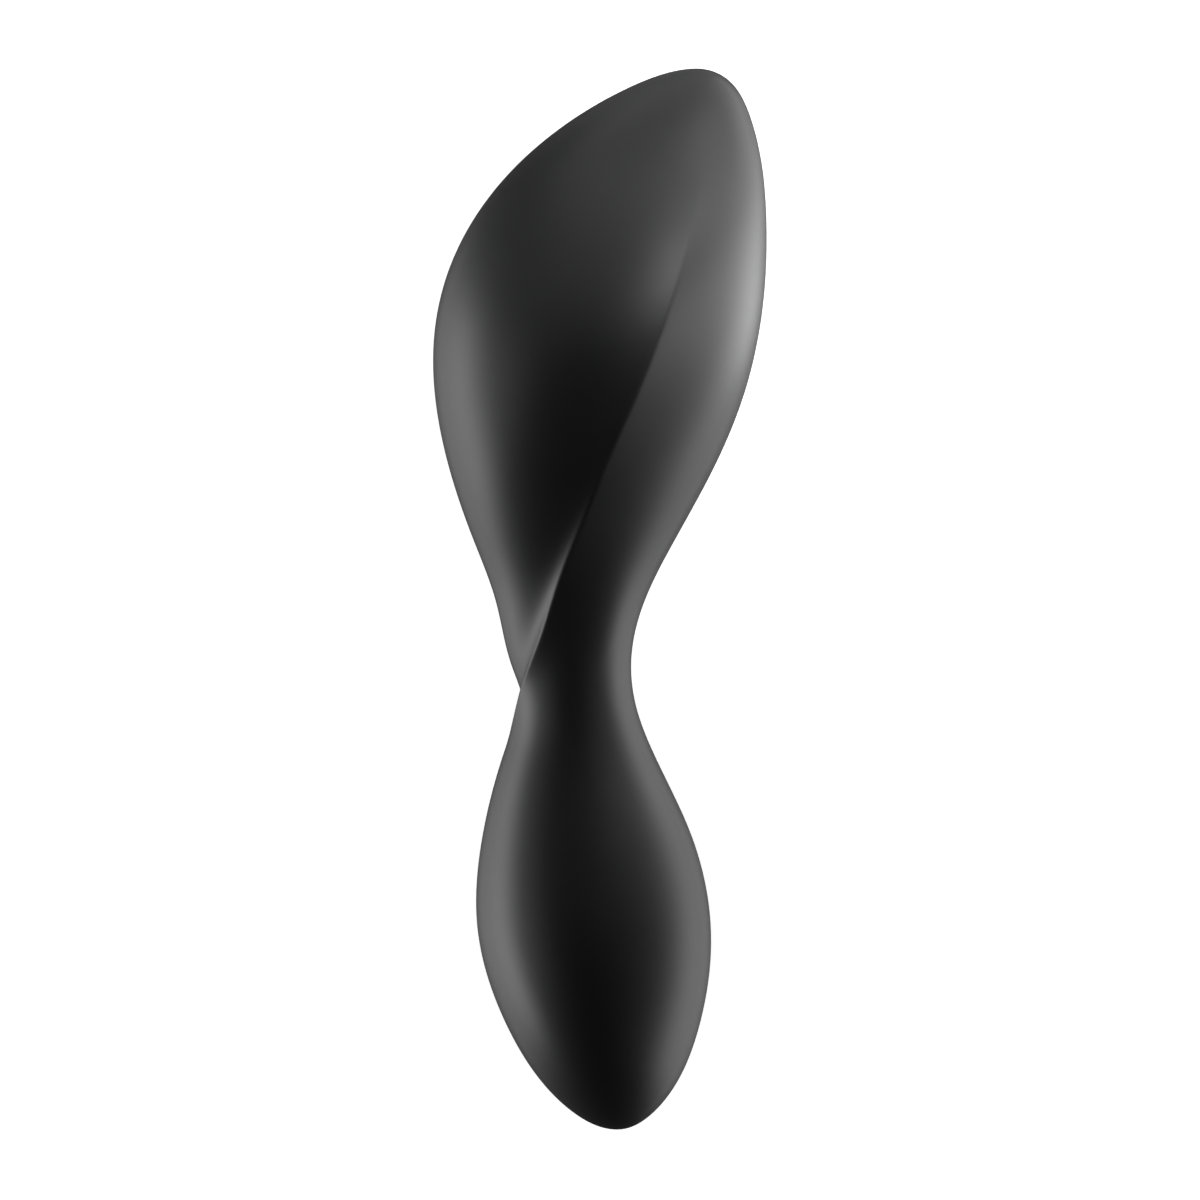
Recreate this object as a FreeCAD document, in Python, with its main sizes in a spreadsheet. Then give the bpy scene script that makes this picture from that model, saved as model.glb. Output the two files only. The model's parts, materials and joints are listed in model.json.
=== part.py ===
import FreeCAD, Part
import math
import os
import Sketcher

# Two-lobed handheld massager, lying on its back. Millimetres.
# +X runs across the body, +Y along it towards the large head, +Z up from the table it lies on.
# The origin is the middle of the footprint, at table height.

SIZES = {
    # the soft skin and the rigid core under it
    "body_length": 165.0,
    "skin_thickness": 2.3,
    "core_gap": 0.1,
    "core_wall": 1.6,
    "parting_height": 18.5,
    "scoop_span": 112.0,
    "facet_span": 70.0,
    # the control panel on the slanted shoulder of the head
    "panel_along": 34.0,
    "panel_across": 13.0,
    "panel_thickness": 1.6,
    "panel_slant": 35.0,
    "button_radius": 4.3,
    "button_clearance": 0.25,
    "button_thickness": 1.9,
    "button_proud": 0.5,
    "button_spacing": 20.6,
    "button_travel": 0.6,
    "stem_radius": 1.5,
    "stem_clearance": 0.06,
    "switch_gap": 0.05,
    "seal_radius": 2.5,
    "seal_length": 1.2,
    "contact_radius": 1.25,
    "contact_foot_radius": 0.6,
    "contact_spacing": 4.2,
    "contact_proud": 0.25,
    "light_radius": 0.8,
    # the circuit board under the panel
    "board_depth": 9.6,
    "board_along": 30.0,
    "board_across": 12.0,
    "board_thickness": 1.0,
    "board_corner": 1.5,
    "switch_side": 4.5,
    "switch_height": 1.5,
    "plunger_radius": 1.2,
    "plunger_length": 1.6,
    "led_along": 1.6,
    "led_across": 1.0,
    "led_height": 0.8,
    "controller_side": 5.0,
    "controller_height": 0.9,
    "charger_side": 3.0,
    "charger_height": 0.8,
    "driver_along": 2.9,
    "driver_across": 1.5,
    "driver_height": 1.0,
    "capacitor_along": 1.6,
    "capacitor_across": 0.8,
    "capacitor_height": 0.8,
    # the rechargeable cell
    "cell_radius": 7.0,
    "cell_length": 40.0,
    "cell_cap_step": 0.5,
    "foam_thickness": 0.45,
    "foam_width": 5.0,
    # the vibration motors
    "can_radius": 6.2,
    "can_length": 19.0,
    "can_wall": 0.7,
    "magnet_radius": 4.4,
    "magnet_length": 11.0,
    "magnet_gap": 3.0,
    "magnet_overlap": 1.0,
    "armature_radius": 4.0,
    "armature_length": 10.0,
    "armature_overlap": 0.5,
    "pole_slot_place": 3.6,
    "shaft_radius": 0.75,
    "shaft_clearance": 0.03,
    "shaft_front": 9.5,
    "shaft_back": 0.4,
    "shaft_tip": 0.5,
    "bushing_radius": 2.0,
    "bushing_length": 2.6,
    "commutator_radius": 1.8,
    "commutator_length": 3.2,
    "commutator_gap": 0.3,
    "brush_length": 2.0,
    "brush_width": 1.2,
    "brush_height": 1.6,
    "brush_gap": 0.05,
    "endcap_thickness": 2.2,
    "weight_radius": 7.0,
    "weight_length": 6.5,
    "weight_hub_radius": 2.2,
    "mount_wall": 1.2,
    # fasteners and leads
    "screw_radius": 0.95,
    "screw_length": 10.0,
    "screw_head_radius": 1.8,
    "screw_head_height": 1.3,
    "boss_radius": 2.7,
    "lead_radius": 0.55,
    "solder_gap": 0.03,
}

# Sections of the body across its length: y, left edge, right edge, lowest point, highest point,
# how far the crown leans to the left, angle of the ridge round the section, drop and foot of the
# scoop to the left of the ridge, and drop and foot of the facet to its right.
SECTION_NAMES = (
    "place", "left", "right", "belly", "crown", "lean", "ridge", "scoop", "scoop_foot", "facet", "facet_foot",
)
SECTIONS = (
    (-82.5, 2.7, 2.7, 15.5, 15.5, 0.00, 262, 0.0, 3.0, 0.0, 4.5),
    (-80.0, -3.9, 8.1, 9.8, 21.8, 0.03, 262, 0.0, 3.0, 0.0, 4.5),
    (-74.0, -9.9, 12.6, 4.9, 27.0, 0.06, 262, 0.0, 3.0, 0.0, 4.5),
    (-65.0, -15.1, 15.8, 1.5, 30.8, 0.09, 262, 0.0, 3.0, 0.0, 4.5),
    (-50.0, -19.2, 17.2, 0.0, 31.6, 0.10, 262, 0.0, 3.0, 0.0, 4.5),
    (-35.0, -18.0, 13.6, 2.3, 28.9, 0.08, 244, 0.3, 2.4, 0.0, 4.5),
    (-25.0, -15.4, 8.9, 5.4, 27.0, 0.05, 206, 1.2, 1.8, 0.0, 4.5),
    (-17.5, -13.6, 5.9, 7.6, 26.3, 0.02, 168, 1.9, 1.6, 0.0, 4.5),
    (-10.0, -14.9, 4.85, 8.5, 26.6, 0.00, 127.7, 2.2, 1.6, 0.6, 4.5),
    (0.0, -16.6, 7.0, 7.9, 28.6, 0.00, 102.8, 1.7, 1.5, 0.95, 4.7),
    (10.0, -20.0, 12.0, 5.7, 32.8, 0.04, 86, 1.2, 1.5, 1.1, 5.2),
    (20.0, -23.3, 17.4, 3.0, 37.6, 0.05, 77.3, 0.7, 1.8, 1.4, 6.6),
    (30.0, -25.4, 21.7, 0.9, 40.8, 0.04, 70.9, 0.3, 2.0, 2.2, 8.0),
    (40.0, -25.8, 24.4, 0.0, 41.4, 0.00, 67.2, 0.1, 3.0, 3.0, 9.0),
    (50.0, -23.9, 25.7, 0.8, 39.2, -0.04, 64.8, 0.0, 3.0, 2.3, 9.6),
    (58.0, -20.3, 25.9, 2.7, 36.0, -0.02, 61.4, 0.0, 3.0, 1.2, 9.8),
    (66.0, -14.4, 25.4, 5.7, 31.8, 0.05, 56.3, 0.0, 3.0, 0.35, 9.5),
    (74.0, -5.2, 23.7, 10.1, 27.4, 0.08, 50, 0.0, 3.0, 0.0, 9.5),
    (80.0, 5.4, 20.7, 15.0, 23.2, 0.05, 50, 0.0, 3.0, 0.0, 9.5),
    (82.5, 15.1, 15.1, 19.4, 19.4, 0.00, 50, 0.0, 3.0, 0.0, 9.5),
)

AROUND = 48        # points round each section of the body
ALONG = 56         # sections along the body
FULL_TURN = 2 * math.pi
RUN_UP = math.radians(40)      # how far before the ridge the hidden inner walls start to step down
RUN_OUT = math.radians(12)     # how far past the ridge they are fully down
HIDDEN_EDGE = 3.0              # how broadly the hidden inner walls round the ridge off
LEAST_FOOT = 1.0
LEAST_RIDGE = 0.05             # a ridge lower than this is smoothed over
BACK_SEAM = 0.72

doc = FreeCAD.newDocument("massager")
sheet = doc.addObject("Spreadsheet::Sheet", "sizes")
nodes = {}


def fill_sheet():
    """Write every driving dimension into the sheet under its own alias."""
    row = 1
    for name, value in SIZES.items():
        sheet.set("A%d" % row, name)
        sheet.set("B%d" % row, str(value))
        sheet.setAlias("B%d" % row, name)
        row += 1
    for number, section in enumerate(SECTIONS):
        for column, value in enumerate(section):
            cell = "%s%d" % ("DEFGHIJKLMN"[column], number + 1)
            sheet.set(cell, str(value))
            sheet.setAlias(cell, "%s_of_section_%02d" % (SECTION_NAMES[column], number))
    doc.recompute()


def size(name):
    """A driving dimension, read back from the sheet."""
    return float(sheet.get(name))


fill_sheet()
HALF_LENGTH = size("body_length") / 2


# ---------------------------------------------------------------- the body's surface

def natural_spline(knots, values):
    """A smooth curve through the values, with no bend at either end."""
    last = len(knots) - 1
    gaps = [knots[i + 1] - knots[i] for i in range(last)]
    slopes = [(values[i + 1] - values[i]) / gaps[i] for i in range(last)]
    weight = [0.0] * (last + 1)
    load = [0.0] * (last + 1)
    bend = [0.0] * (last + 1)
    for i in range(1, last):
        pivot = 2 * (gaps[i - 1] + gaps[i]) - gaps[i - 1] * weight[i - 1]
        weight[i] = gaps[i] / pivot
        load[i] = (6 * (slopes[i] - slopes[i - 1]) - gaps[i - 1] * load[i - 1]) / pivot
    for i in range(last - 1, 0, -1):
        bend[i] = load[i] - weight[i] * bend[i + 1]

    def at(s):
        i = 0
        while i < last - 1 and s > knots[i + 1]:
            i += 1
        a = (knots[i + 1] - s) / gaps[i]
        b = 1 - a
        curved = (a ** 3 - a) * bend[i] + (b ** 3 - b) * bend[i + 1]
        return a * values[i] + b * values[i + 1] + curved * gaps[i] ** 2 / 6

    return at


def station(y):
    """Place along the body as a number from 0 at the tip of the lobe to 1 at the top of the head."""
    return math.acos(max(-1.0, min(1.0, -y / HALF_LENGTH))) / math.pi


def section_curves():
    """One smooth curve along the body for each column of the section table."""
    columns = []
    for name in SECTION_NAMES:
        columns.append([size("%s_of_section_%02d" % (name, i)) for i in range(len(SECTIONS))])
    knots = [station(y) for y in columns[0]]
    return [natural_spline(knots, column) for column in columns[1:]]


CURVES = section_curves()
SCOOP = SECTION_NAMES.index("scoop") - 1
FACET = SECTION_NAMES.index("facet") - 1


def body_point(s, beyond, hidden):
    """A point of the surface at a station and an angle beyond the ridge. Hidden inner walls get a
    broad step in place of the sharp ridge."""
    left, right, belly, crown, lean, ridge, scoop, scoop_foot, facet, facet_foot = [c(s) for c in CURVES]
    half_width = (right - left) / 2
    half_height = (crown - belly) / 2
    angle = math.radians(ridge) + beyond
    sine = math.sin(angle)
    cosine = math.cos(angle)
    x = (left + right) / 2 + half_width * (cosine - lean * sine ** 3)
    z = (belly + crown) / 2 + half_height * sine
    across = half_width * (-sine - 3 * lean * sine ** 2 * cosine)
    rise = half_height * cosine
    length = math.hypot(across, rise) or 1.0
    past = beyond % FULL_TURN
    if past > 0.75 * FULL_TURN:
        past -= FULL_TURN
    reach = (half_width + half_height) / 2
    if hidden:
        t = min(max((past + RUN_UP) / (RUN_UP + RUN_OUT), 0.0), 1.0)
        scoop_step = t * t * (3 - 2 * t)
        facet_run = HIDDEN_EDGE * math.log1p(math.exp(-past * reach / HIDDEN_EDGE))
    else:
        scoop_step = 1 - math.exp(-max(past, 0.0) * reach / max(scoop_foot, LEAST_FOOT))
        facet_run = max(-past, 0.0) * reach
    facet_step = 1 - math.exp(-facet_run / max(facet_foot, LEAST_FOOT))
    scoop_fade = min(max(past, 0.0) / math.radians(size("scoop_span")), 1.0)
    facet_fade = min(max(-past, 0.0) / math.radians(size("facet_span")), 1.0)
    cut = max(scoop, 0.0) * scoop_step * math.cos(math.pi / 2 * scoop_fade) ** 2
    cut += max(facet, 0.0) * facet_step * math.cos(math.pi / 2 * facet_fade) ** 2
    y = -HALF_LENGTH * math.cos(math.pi * s)
    return FreeCAD.Vector(x - cut * rise / length, y, z + cut * across / length)


def wall_point(s, beyond, inset):
    """A point of the surface that lies an inset below the outside, measured square to it."""
    hidden = inset > 0
    if s <= 0 or s >= 1:
        end = body_point(s, beyond, hidden)
        return end - FreeCAD.Vector(0, math.copysign(inset, end.y), 0)
    step = 1e-3
    point = body_point(s, beyond, hidden)
    along = body_point(min(s + step, 1), beyond, hidden) - body_point(max(s - step, 0), beyond, hidden)
    round_it = body_point(s, beyond + step, hidden) - body_point(s, beyond - step, hidden)
    outward = along.cross(round_it).normalize()
    return point - outward * inset


def body_solid(inset):
    """The closed solid inside the surface that lies an inset below the outside."""
    turns = [FULL_TURN * (i / AROUND) ** 1.25 for i in range(AROUND)] + [FULL_TURN]
    stations = [i / ALONG for i in range(ALONG + 1)]
    rows = [[wall_point(s, turn, inset) for turn in turns] for s in stations]
    tips = (rows[0][0].y, rows[-1][0].y)
    poles = [row[:] for row in rows]
    # a pole stands off the surface by a sixth of the second difference of the points round it
    for j in range(1, ALONG):
        for i in range(1, AROUND):
            bend = rows[j][i - 1] + rows[j][i + 1] - rows[j][i] * 2
            if 1 < j < ALONG - 1:
                bend = bend + rows[j - 1][i] + rows[j + 1][i] - rows[j][i] * 2
            poles[j][i] = rows[j][i] - bend * (1 / 6)
        seam = rows[j][0]
        height = max(CURVES[SCOOP](stations[j]), CURVES[FACET](stations[j]))
        sharp = height > LEAST_RIDGE and inset <= 0
        poles[j][0] = seam if sharp else (poles[j][1] + poles[j][AROUND - 1]) * 0.5
        poles[j][AROUND] = poles[j][0]
    # the second row lies flat in the plane of its tip, which closes the surface smoothly
    for j, tip in ((1, tips[0]), (ALONG - 1, tips[1])):
        for pole in poles[j]:
            pole.y = tip
    inner = list(range(1, AROUND - 2))
    outer = list(range(1, ALONG - 2))
    surface = Part.BSplineSurface()
    surface.buildFromPolesMultsKnots(
        poles,
        [4] + [1] * len(outer) + [4],
        [4] + [1] * len(inner) + [4],
        list(range(len(outer) + 2)),
        list(range(len(inner) + 2)),
        False,
        False,
        3,
        3,
    )
    # two faces that meet at the ridge and along the back, clear of the panel
    last_along, last_round = len(outer) + 1, len(inner) + 1
    back = last_round * BACK_SEAM
    faces = []
    for start, end in ((0, back), (back, last_round)):
        half = surface.copy()
        half.segment(0, last_along, start, end)
        faces.append(half.toShape())
    shell = Part.Compound(faces)
    shell.sewShape()
    solid = Part.Solid(shell.Shells[0])
    if solid.Volume < 0:
        solid.reverse()
    return solid


# ---------------------------------------------------------------- small building helpers

def expression(text):
    """Turn 'a + b' into a formula on the sheet's cells."""
    words = []
    for word in text.split():
        words.append("sizes." + word if word in SIZES else word)
    return " ".join(words)


def rod(name, radius, length, at=(0, 0, 0)):
    """A round bar along +Z. Its radius and length are formulas on the sheet."""
    bar = doc.addObject("Part::Cylinder", name)
    bar.setExpression("Radius", expression(radius))
    bar.setExpression("Height", expression(length))
    bar.Placement.Base = FreeCAD.Vector(*at)
    return bar


def block(name, along, across, height, at=(0, 0, 0)):
    """A box standing on z, centred on the given place. Its sides are formulas on the sheet."""
    box = doc.addObject("Part::Box", name)
    box.setExpression("Length", expression(along))
    box.setExpression("Width", expression(across))
    box.setExpression("Height", expression(height))
    doc.recompute()
    corner = FreeCAD.Vector(-box.Length.Value / 2, -box.Width.Value / 2, 0)
    box.Placement.Base = FreeCAD.Vector(*at) + corner
    return box


def fuse(name, *pieces):
    joined = doc.addObject("Part::MultiFuse", name)
    joined.Shapes = list(pieces)
    return joined


def cut(name, base, *tools):
    """The base with every tool taken away."""
    result = doc.addObject("Part::Cut", name)
    result.Base = base
    result.Tool = tools[0] if len(tools) == 1 else fuse(name + "_tools", *tools)
    return result


def common(name, first, second):
    both = doc.addObject("Part::Common", name)
    both.Base = first
    both.Tool = second
    return both


def feature(name, shape):
    """A shape made by this file's own functions."""
    item = doc.addObject("Part::Feature", name)
    item.Shape = shape
    return item


def as_node(name, item, frame=None):
    """Name a finished sub-part and put it in its place."""
    item.Label = name
    if frame is not None:
        item.Placement = frame.multiply(item.Placement)
    nodes[name] = item
    return item


def origin_plane(body, role):
    for item in body.Origin.OriginFeatures:
        if item.Role == role:
            return item


def new_sketch(body, name, role="XY_Plane"):
    sketch = body.newObject("Sketcher::SketchObject", name)
    sketch.AttachmentSupport = (origin_plane(body, role), [""])
    sketch.MapMode = "FlatFace"
    return sketch


def circle_in(sketch, radius, centre=(0, 0)):
    """A circle whose radius is a formula on the sheet."""
    place = FreeCAD.Vector(centre[0], centre[1], 0)
    number = sketch.addGeometry(Part.Circle(place, FreeCAD.Vector(0, 0, 1), 1.0))
    held = sketch.addConstraint(Sketcher.Constraint("Radius", number, 1.0))
    sketch.setExpression("Constraints[%d]" % held, expression(radius))
    if centre == (0, 0):
        sketch.addConstraint(Sketcher.Constraint("Coincident", number, 3, -1, 1))
    else:
        sketch.addConstraint(Sketcher.Constraint("DistanceX", -1, 1, number, 3, centre[0]))
        sketch.addConstraint(Sketcher.Constraint("DistanceY", -1, 1, number, 3, centre[1]))
    return number


def stadium_in(sketch, along, across):
    """A slot shape, two straight sides joined by half circles, centred on the origin."""
    half = 5.0
    radius = 2.0
    up = FreeCAD.Vector(0, 0, 1)
    right = Part.Circle(FreeCAD.Vector(half, 0, 0), up, radius)
    left = Part.Circle(FreeCAD.Vector(-half, 0, 0), up, radius)
    quarter = math.pi / 2
    corners = [FreeCAD.Vector(x, y, 0) for x, y in ((-half, radius), (half, radius))]
    lower = [FreeCAD.Vector(x, y, 0) for x, y in ((half, -radius), (-half, -radius))]
    top = sketch.addGeometry(Part.LineSegment(*corners))
    bottom = sketch.addGeometry(Part.LineSegment(*lower))
    east = sketch.addGeometry(Part.ArcOfCircle(right, -quarter, quarter))
    west = sketch.addGeometry(Part.ArcOfCircle(left, quarter, 3 * quarter))
    rules = (
        ("Tangent", top, 2, east, 2),
        ("Tangent", east, 1, bottom, 1),
        ("Tangent", bottom, 2, west, 2),
        ("Tangent", west, 1, top, 1),
        ("Horizontal", top),
        ("Equal", east, west),
        ("Symmetric", east, 3, west, 3, -1, 1),
    )
    for rule in rules:
        sketch.addConstraint(Sketcher.Constraint(*rule))
    bend = sketch.addConstraint(Sketcher.Constraint("Radius", east, radius))
    sketch.setExpression("Constraints[%d]" % bend, expression(across + " / 2"))
    span = sketch.addConstraint(Sketcher.Constraint("DistanceX", west, 3, east, 3, 2 * half))
    sketch.setExpression("Constraints[%d]" % span, expression(along + " - " + across))


def pad(body, sketch, length, backwards=False):
    """Raise a sketch by a length that is a formula on the sheet."""
    raised = body.newObject("PartDesign::Pad", sketch.Name + "_pad")
    raised.Profile = sketch
    raised.setExpression("Length", expression(length))
    raised.Reversed = backwards
    sketch.Visibility = False
    return raised


# ---------------------------------------------------------------- frames of the sub-assemblies

def frame_of(origin, along, outward):
    """The placement whose +X runs along and whose +Z points outward."""
    side = outward.cross(along)
    matrix = FreeCAD.Matrix(
        along.x, side.x, outward.x, origin.x,
        along.y, side.y, outward.y, origin.y,
        along.z, side.z, outward.z, origin.z,
        0, 0, 0, 1,
    )
    return FreeCAD.Placement(matrix)


SHOULDER = FreeCAD.Vector(-0.746, -0.666, 0)  # the shoulder's direction, away from the top of the head
PROBE = 8.0                                   # reaches through the panel from either side


def panel_frame():
    """The panel faces out of the shoulder and down the back of the head, square to the surface."""
    slant = math.radians(size("panel_slant"))
    square = FreeCAD.Vector(SHOULDER.y, -SHOULDER.x, 0)
    outward = square * math.cos(slant) - FreeCAD.Vector(0, 0, 1) * math.sin(slant)
    # search the head's surface for the place that faces the same way
    best = None
    for row in range(60, 100):
        for turn in range(0, 360, 2):
            s = row / 100
            point = wall_point(s, math.radians(turn), 0)
            above = wall_point(s, math.radians(turn), -1)
            facing = (above - point).normalize().dot(outward.normalize())
            if best is None or facing > best[0]:
                best = (facing, point)
    return frame_of(best[1], SHOULDER.normalize(), outward.normalize())


PANEL = panel_frame()


def height_over(along, across=0.0):
    """How far the outside surface stands above the panel's own plane at a place on the panel."""
    low = PANEL.multVec(FreeCAD.Vector(along, across, -PROBE))
    high = PANEL.multVec(FreeCAD.Vector(along, across, PROBE))
    inside = Part.LineSegment(low, high).toShape().common(outside.Shape)
    return PANEL.inverse().multVec(inside.Vertexes[-1].Point).z


ACROSS = FreeCAD.Vector(1, 0, 0)
FORWARD = FreeCAD.Vector(0, 1, 0)

# places on the panel, measured along it from its middle, towards the foot of the shoulder
POWER_AT = 9.8
MODE_AT = POWER_AT - size("button_spacing")
LIGHT_AT = -4.6
CONTACTS_AT = (-1.0, -1.0 + size("contact_spacing"))
BOARD_SHIFT = 1.0
BOARD_TOP = -size("board_depth")
BOARD_UNDER = BOARD_TOP - size("board_thickness")
PLUNGER_FOOT = BOARD_TOP + size("button_travel") + size("switch_gap")
STEM_FOOT = PLUNGER_FOOT + size("plunger_length") + size("switch_gap")

# the motors' front faces, with the shaft pointing outward, and the foot of the cell
HEAD_MOTOR = frame_of(FreeCAD.Vector(-8.3, 33.5, 20.0), ACROSS, FORWARD)
TIP_MOTOR = frame_of(FreeCAD.Vector(-1.0, -48.0, 16.3), ACROSS, FORWARD * -1)
CELL_TILT = math.radians(9.5)
CELL_AXIS = FreeCAD.Vector(math.sin(CELL_TILT), math.cos(CELL_TILT), 0)
CELL_SIDE = FreeCAD.Vector(math.cos(CELL_TILT), -math.sin(CELL_TILT), 0)
CELL = frame_of(FreeCAD.Vector(6.7, 23.0, 19.0), CELL_SIDE, CELL_AXIS)

# where the core's two halves are screwed together, and how high each screw's head is seated
BOSSES = (
    (-17.5, 46.2, 15.0),
    (14.2, 71.4, 14.4),
    (5.0, 13.0, 12.6),
    (-12.0, -40.0, 12.0),
    (9.6, -43.0, 12.0),
)


# ---------------------------------------------------------------- skin, panel and core

skin = size("skin_thickness")
core_depth = skin + size("core_gap")
outside = feature("outside", body_solid(0.0))
proud = feature("proud_surface", body_solid(-size("button_proud")))
panel_floor = feature("panel_floor", body_solid(size("panel_thickness")))
button_floor = feature("button_floor", body_solid(size("button_thickness") - size("button_proud")))
skin_floor = feature("skin_floor", body_solid(skin))
core_outside = feature("core_outside", body_solid(core_depth))
core_inside = feature("core_inside", body_solid(core_depth + size("core_wall")))


def panel_column(name):
    """A tall slot-shaped column through the panel."""
    column = doc.addObject("PartDesign::Body", name)
    sketch = new_sketch(column, name + "_outline")
    stadium_in(sketch, "panel_along", "panel_across")
    raised = pad(column, sketch, "board_depth * 2")
    raised.SideType = "Symmetric"
    column.Placement = PANEL
    return column


def panel_rod(name, radius, along, low=-PROBE, high=PROBE):
    """A round bar square to the panel, between two heights over its plane."""
    bar = rod(name, radius, "%g" % (high - low), (along, 0, low))
    bar.Placement = PANEL.multiply(bar.Placement)
    return bar


def outer_skin():
    """One continuous soft skin with an opening for the panel."""
    shell = cut("skin_shell", outside, skin_floor)
    return as_node("silicone_skin", cut("skin_with_opening", shell, panel_column("skin_opening")))


def panel_parts():
    """The flush panel that follows the body's surface, and the gasket that bonds it to the core."""
    layer = common("panel_layer", outside, panel_column("panel_edge"))
    holes = [
        panel_rod("power_hole", "button_radius + button_clearance", POWER_AT),
        panel_rod("mode_hole", "button_radius + button_clearance", MODE_AT),
        panel_rod("light_hole", "light_radius", LIGHT_AT),
    ]
    for number, along in enumerate(CONTACTS_AT):
        holes.append(panel_rod("contact_hole_%d" % number, "contact_radius", along))
    bezel = cut("bezel_blank", layer, panel_floor)
    as_node("control_panel_bezel", cut("bezel_with_holes", bezel, *holes))
    under = common("gasket_layer", panel_floor, panel_column("gasket_edge"))
    gasket = cut("gasket_blank", under, core_outside)
    as_node("control_panel_gasket", cut("gasket_with_holes", gasket, *holes))


def panel_button(name, along):
    """A round button whose face follows the body, on a stem that reaches down to its switch."""
    blank = cut(name + "_layer", proud, button_floor)
    cap = common(name + "_cap", blank, panel_rod(name + "_round", "button_radius", along))
    top = height_over(along) - size("button_thickness") / 2
    stem = panel_rod(name + "_stem", "stem_radius", along, STEM_FOOT, top)
    as_node(name, fuse(name + "_whole", cap, stem))


def core_shells():
    """The rigid core, split at a flat parting plane and joined by screws in bosses."""
    wall = cut("core_wall_blank", core_outside, core_inside)
    reach = "body_length"
    above = block("above_parting", reach, reach, reach, (0, 0, size("parting_height")))
    below = block("below_parting", reach, reach, reach, (0, 0, size("parting_height") - size(reach)))
    lower_bosses = []
    upper_bosses = []
    clearances = []
    threads = []
    for number, (x, y, seat) in enumerate(BOSSES):
        top = (x, y, size("parting_height"))
        lower_bosses.append(rod("boss_%d" % number, "boss_radius", "parting_height", (x, y, 0)))
        upper_bosses.append(rod("top_boss_%d" % number, "boss_radius", "parting_height", top))
        clearances.append(rod("clearance_%d" % number, "screw_radius", "screw_length", (x, y, seat)))
        well = (x, y, seat - size("parting_height"))
        clearances.append(rod("well_%d" % number, "screw_head_radius", "parting_height", well))
        threads.append(rod("thread_%d" % number, "screw_radius", "screw_length", (x, y, seat)))
    openings = [panel_rod("light_bore", "light_radius", LIGHT_AT)]
    for button, along in (("power", POWER_AT), ("mode", MODE_AT)):
        openings.append(panel_rod(button + "_bore", "seal_radius", along))
    for number, along in enumerate(CONTACTS_AT):
        openings.append(panel_rod("contact_bore_%d" % number, "contact_radius + core_wall / 2", along))
    filling = common("boss_room", fuse("lower_boss_group", *lower_bosses), core_inside)
    lower = fuse("lower_solid", common("lower_half", wall, below), filling)
    as_node("core_shell_lower", cut("lower_shell", lower, *clearances, *openings))
    filling = common("top_boss_room", fuse("upper_boss_group", *upper_bosses), core_inside)
    upper = fuse("upper_solid", common("upper_half", wall, above), filling)
    as_node("core_shell_upper", cut("upper_shell", upper, *threads, *openings))


def core_screws():
    """Pan-head screws driven in from the back, before the skin goes on."""
    screws = []
    for number, (x, y, seat) in enumerate(BOSSES):
        low = seat - size("screw_head_height")
        head = rod("screw_head_%d" % number, "screw_head_radius", "screw_head_height", (x, y, low))
        shank = rod("screw_shank_%d" % number, "screw_radius", "screw_length", (x, y, seat))
        screws.append(fuse("screw_%d" % number, head, shank))
    as_node("core_shell_screws", doc_compound("screw_group", screws))


def doc_compound(name, pieces):
    """Several separate solids kept together as one sub-part."""
    group = doc.addObject("Part::Compound", name)
    group.Links = pieces
    return group


def seals():
    """Rubber rings that fill the bores of the core round each stem and contact."""
    wall = cut("seal_wall", core_outside, core_inside)
    rings = []
    for button, along in (("power", POWER_AT), ("mode", MODE_AT)):
        plug = panel_rod(button + "_seal_round", "seal_radius", along)
        bore = panel_rod(button + "_seal_bore", "stem_radius + stem_clearance", along)
        rings.append(common(button + "_seal", cut(button + "_ring", plug, bore), wall))
    as_node("button_seals", doc_compound("button_seal_pair", rings))
    rings = []
    for number, along in enumerate(CONTACTS_AT):
        plug = panel_rod("contact_seal_round_%d" % number, "contact_radius + core_wall / 2", along)
        bore = panel_rod("contact_seal_bore_%d" % number, "contact_radius", along)
        ring = cut("contact_ring_%d" % number, plug, bore)
        rings.append(common("contact_seal_%d" % number, ring, wall))
    as_node("charging_contact_seals", doc_compound("contact_seal_pair", rings))


def charging_contacts():
    """Two flat-topped contacts, level with each other, with slimmer feet that stand on the board."""
    pins = []
    shoulder = BOARD_TOP / 1.5
    level = size("contact_proud")
    for number, along in enumerate(CONTACTS_AT):
        body = panel_rod("contact_body_%d" % number, "contact_radius", along, shoulder, level)
        foot = panel_rod("contact_foot_%d" % number, "contact_foot_radius", along, BOARD_TOP, shoulder)
        pins.append(fuse("contact_%d" % number, body, foot))
    as_node("charging_contacts", doc_compound("contact_pair", pins))


def light_pipe():
    """A clear peg that carries the status light from the board to the surface."""
    pipe = panel_rod("pipe_rod", "light_radius", LIGHT_AT, BOARD_TOP + size("led_height"))
    as_node("led_light_pipe", common("pipe_trimmed", pipe, outside))


# ---------------------------------------------------------------- circuit board

def circuit_board():
    """A slot-shaped board parallel to the panel."""
    board = doc.addObject("PartDesign::Body", "board_body")
    sketch = new_sketch(board, "board_outline")
    stadium_in(sketch, "board_along", "board_across")
    pad(board, sketch, "board_thickness")
    board.Placement = FreeCAD.Placement(FreeCAD.Vector(BOARD_SHIFT, 0, BOARD_UNDER), FreeCAD.Rotation())
    as_node("circuit_board", board, PANEL)


def board_part(name, kind, at, under=True):
    """A small rectangular package on the board's inner or outer face."""
    low = BOARD_UNDER - size(kind + "_height") if under else BOARD_TOP
    along = kind + ("_along" if kind + "_along" in SIZES else "_side")
    across = kind + ("_across" if kind + "_across" in SIZES else "_side")
    return block(name, along, across, kind + "_height", (at[0], at[1], low))


DRIVERS_AT = ((7.2, -1.9), (7.2, 1.9))
CAPACITORS_AT = ((-9.0, 1.4), (-9.0, -1.4), (-2.6, 3.4), (-2.6, -3.4), (5.0, 4.0))


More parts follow.
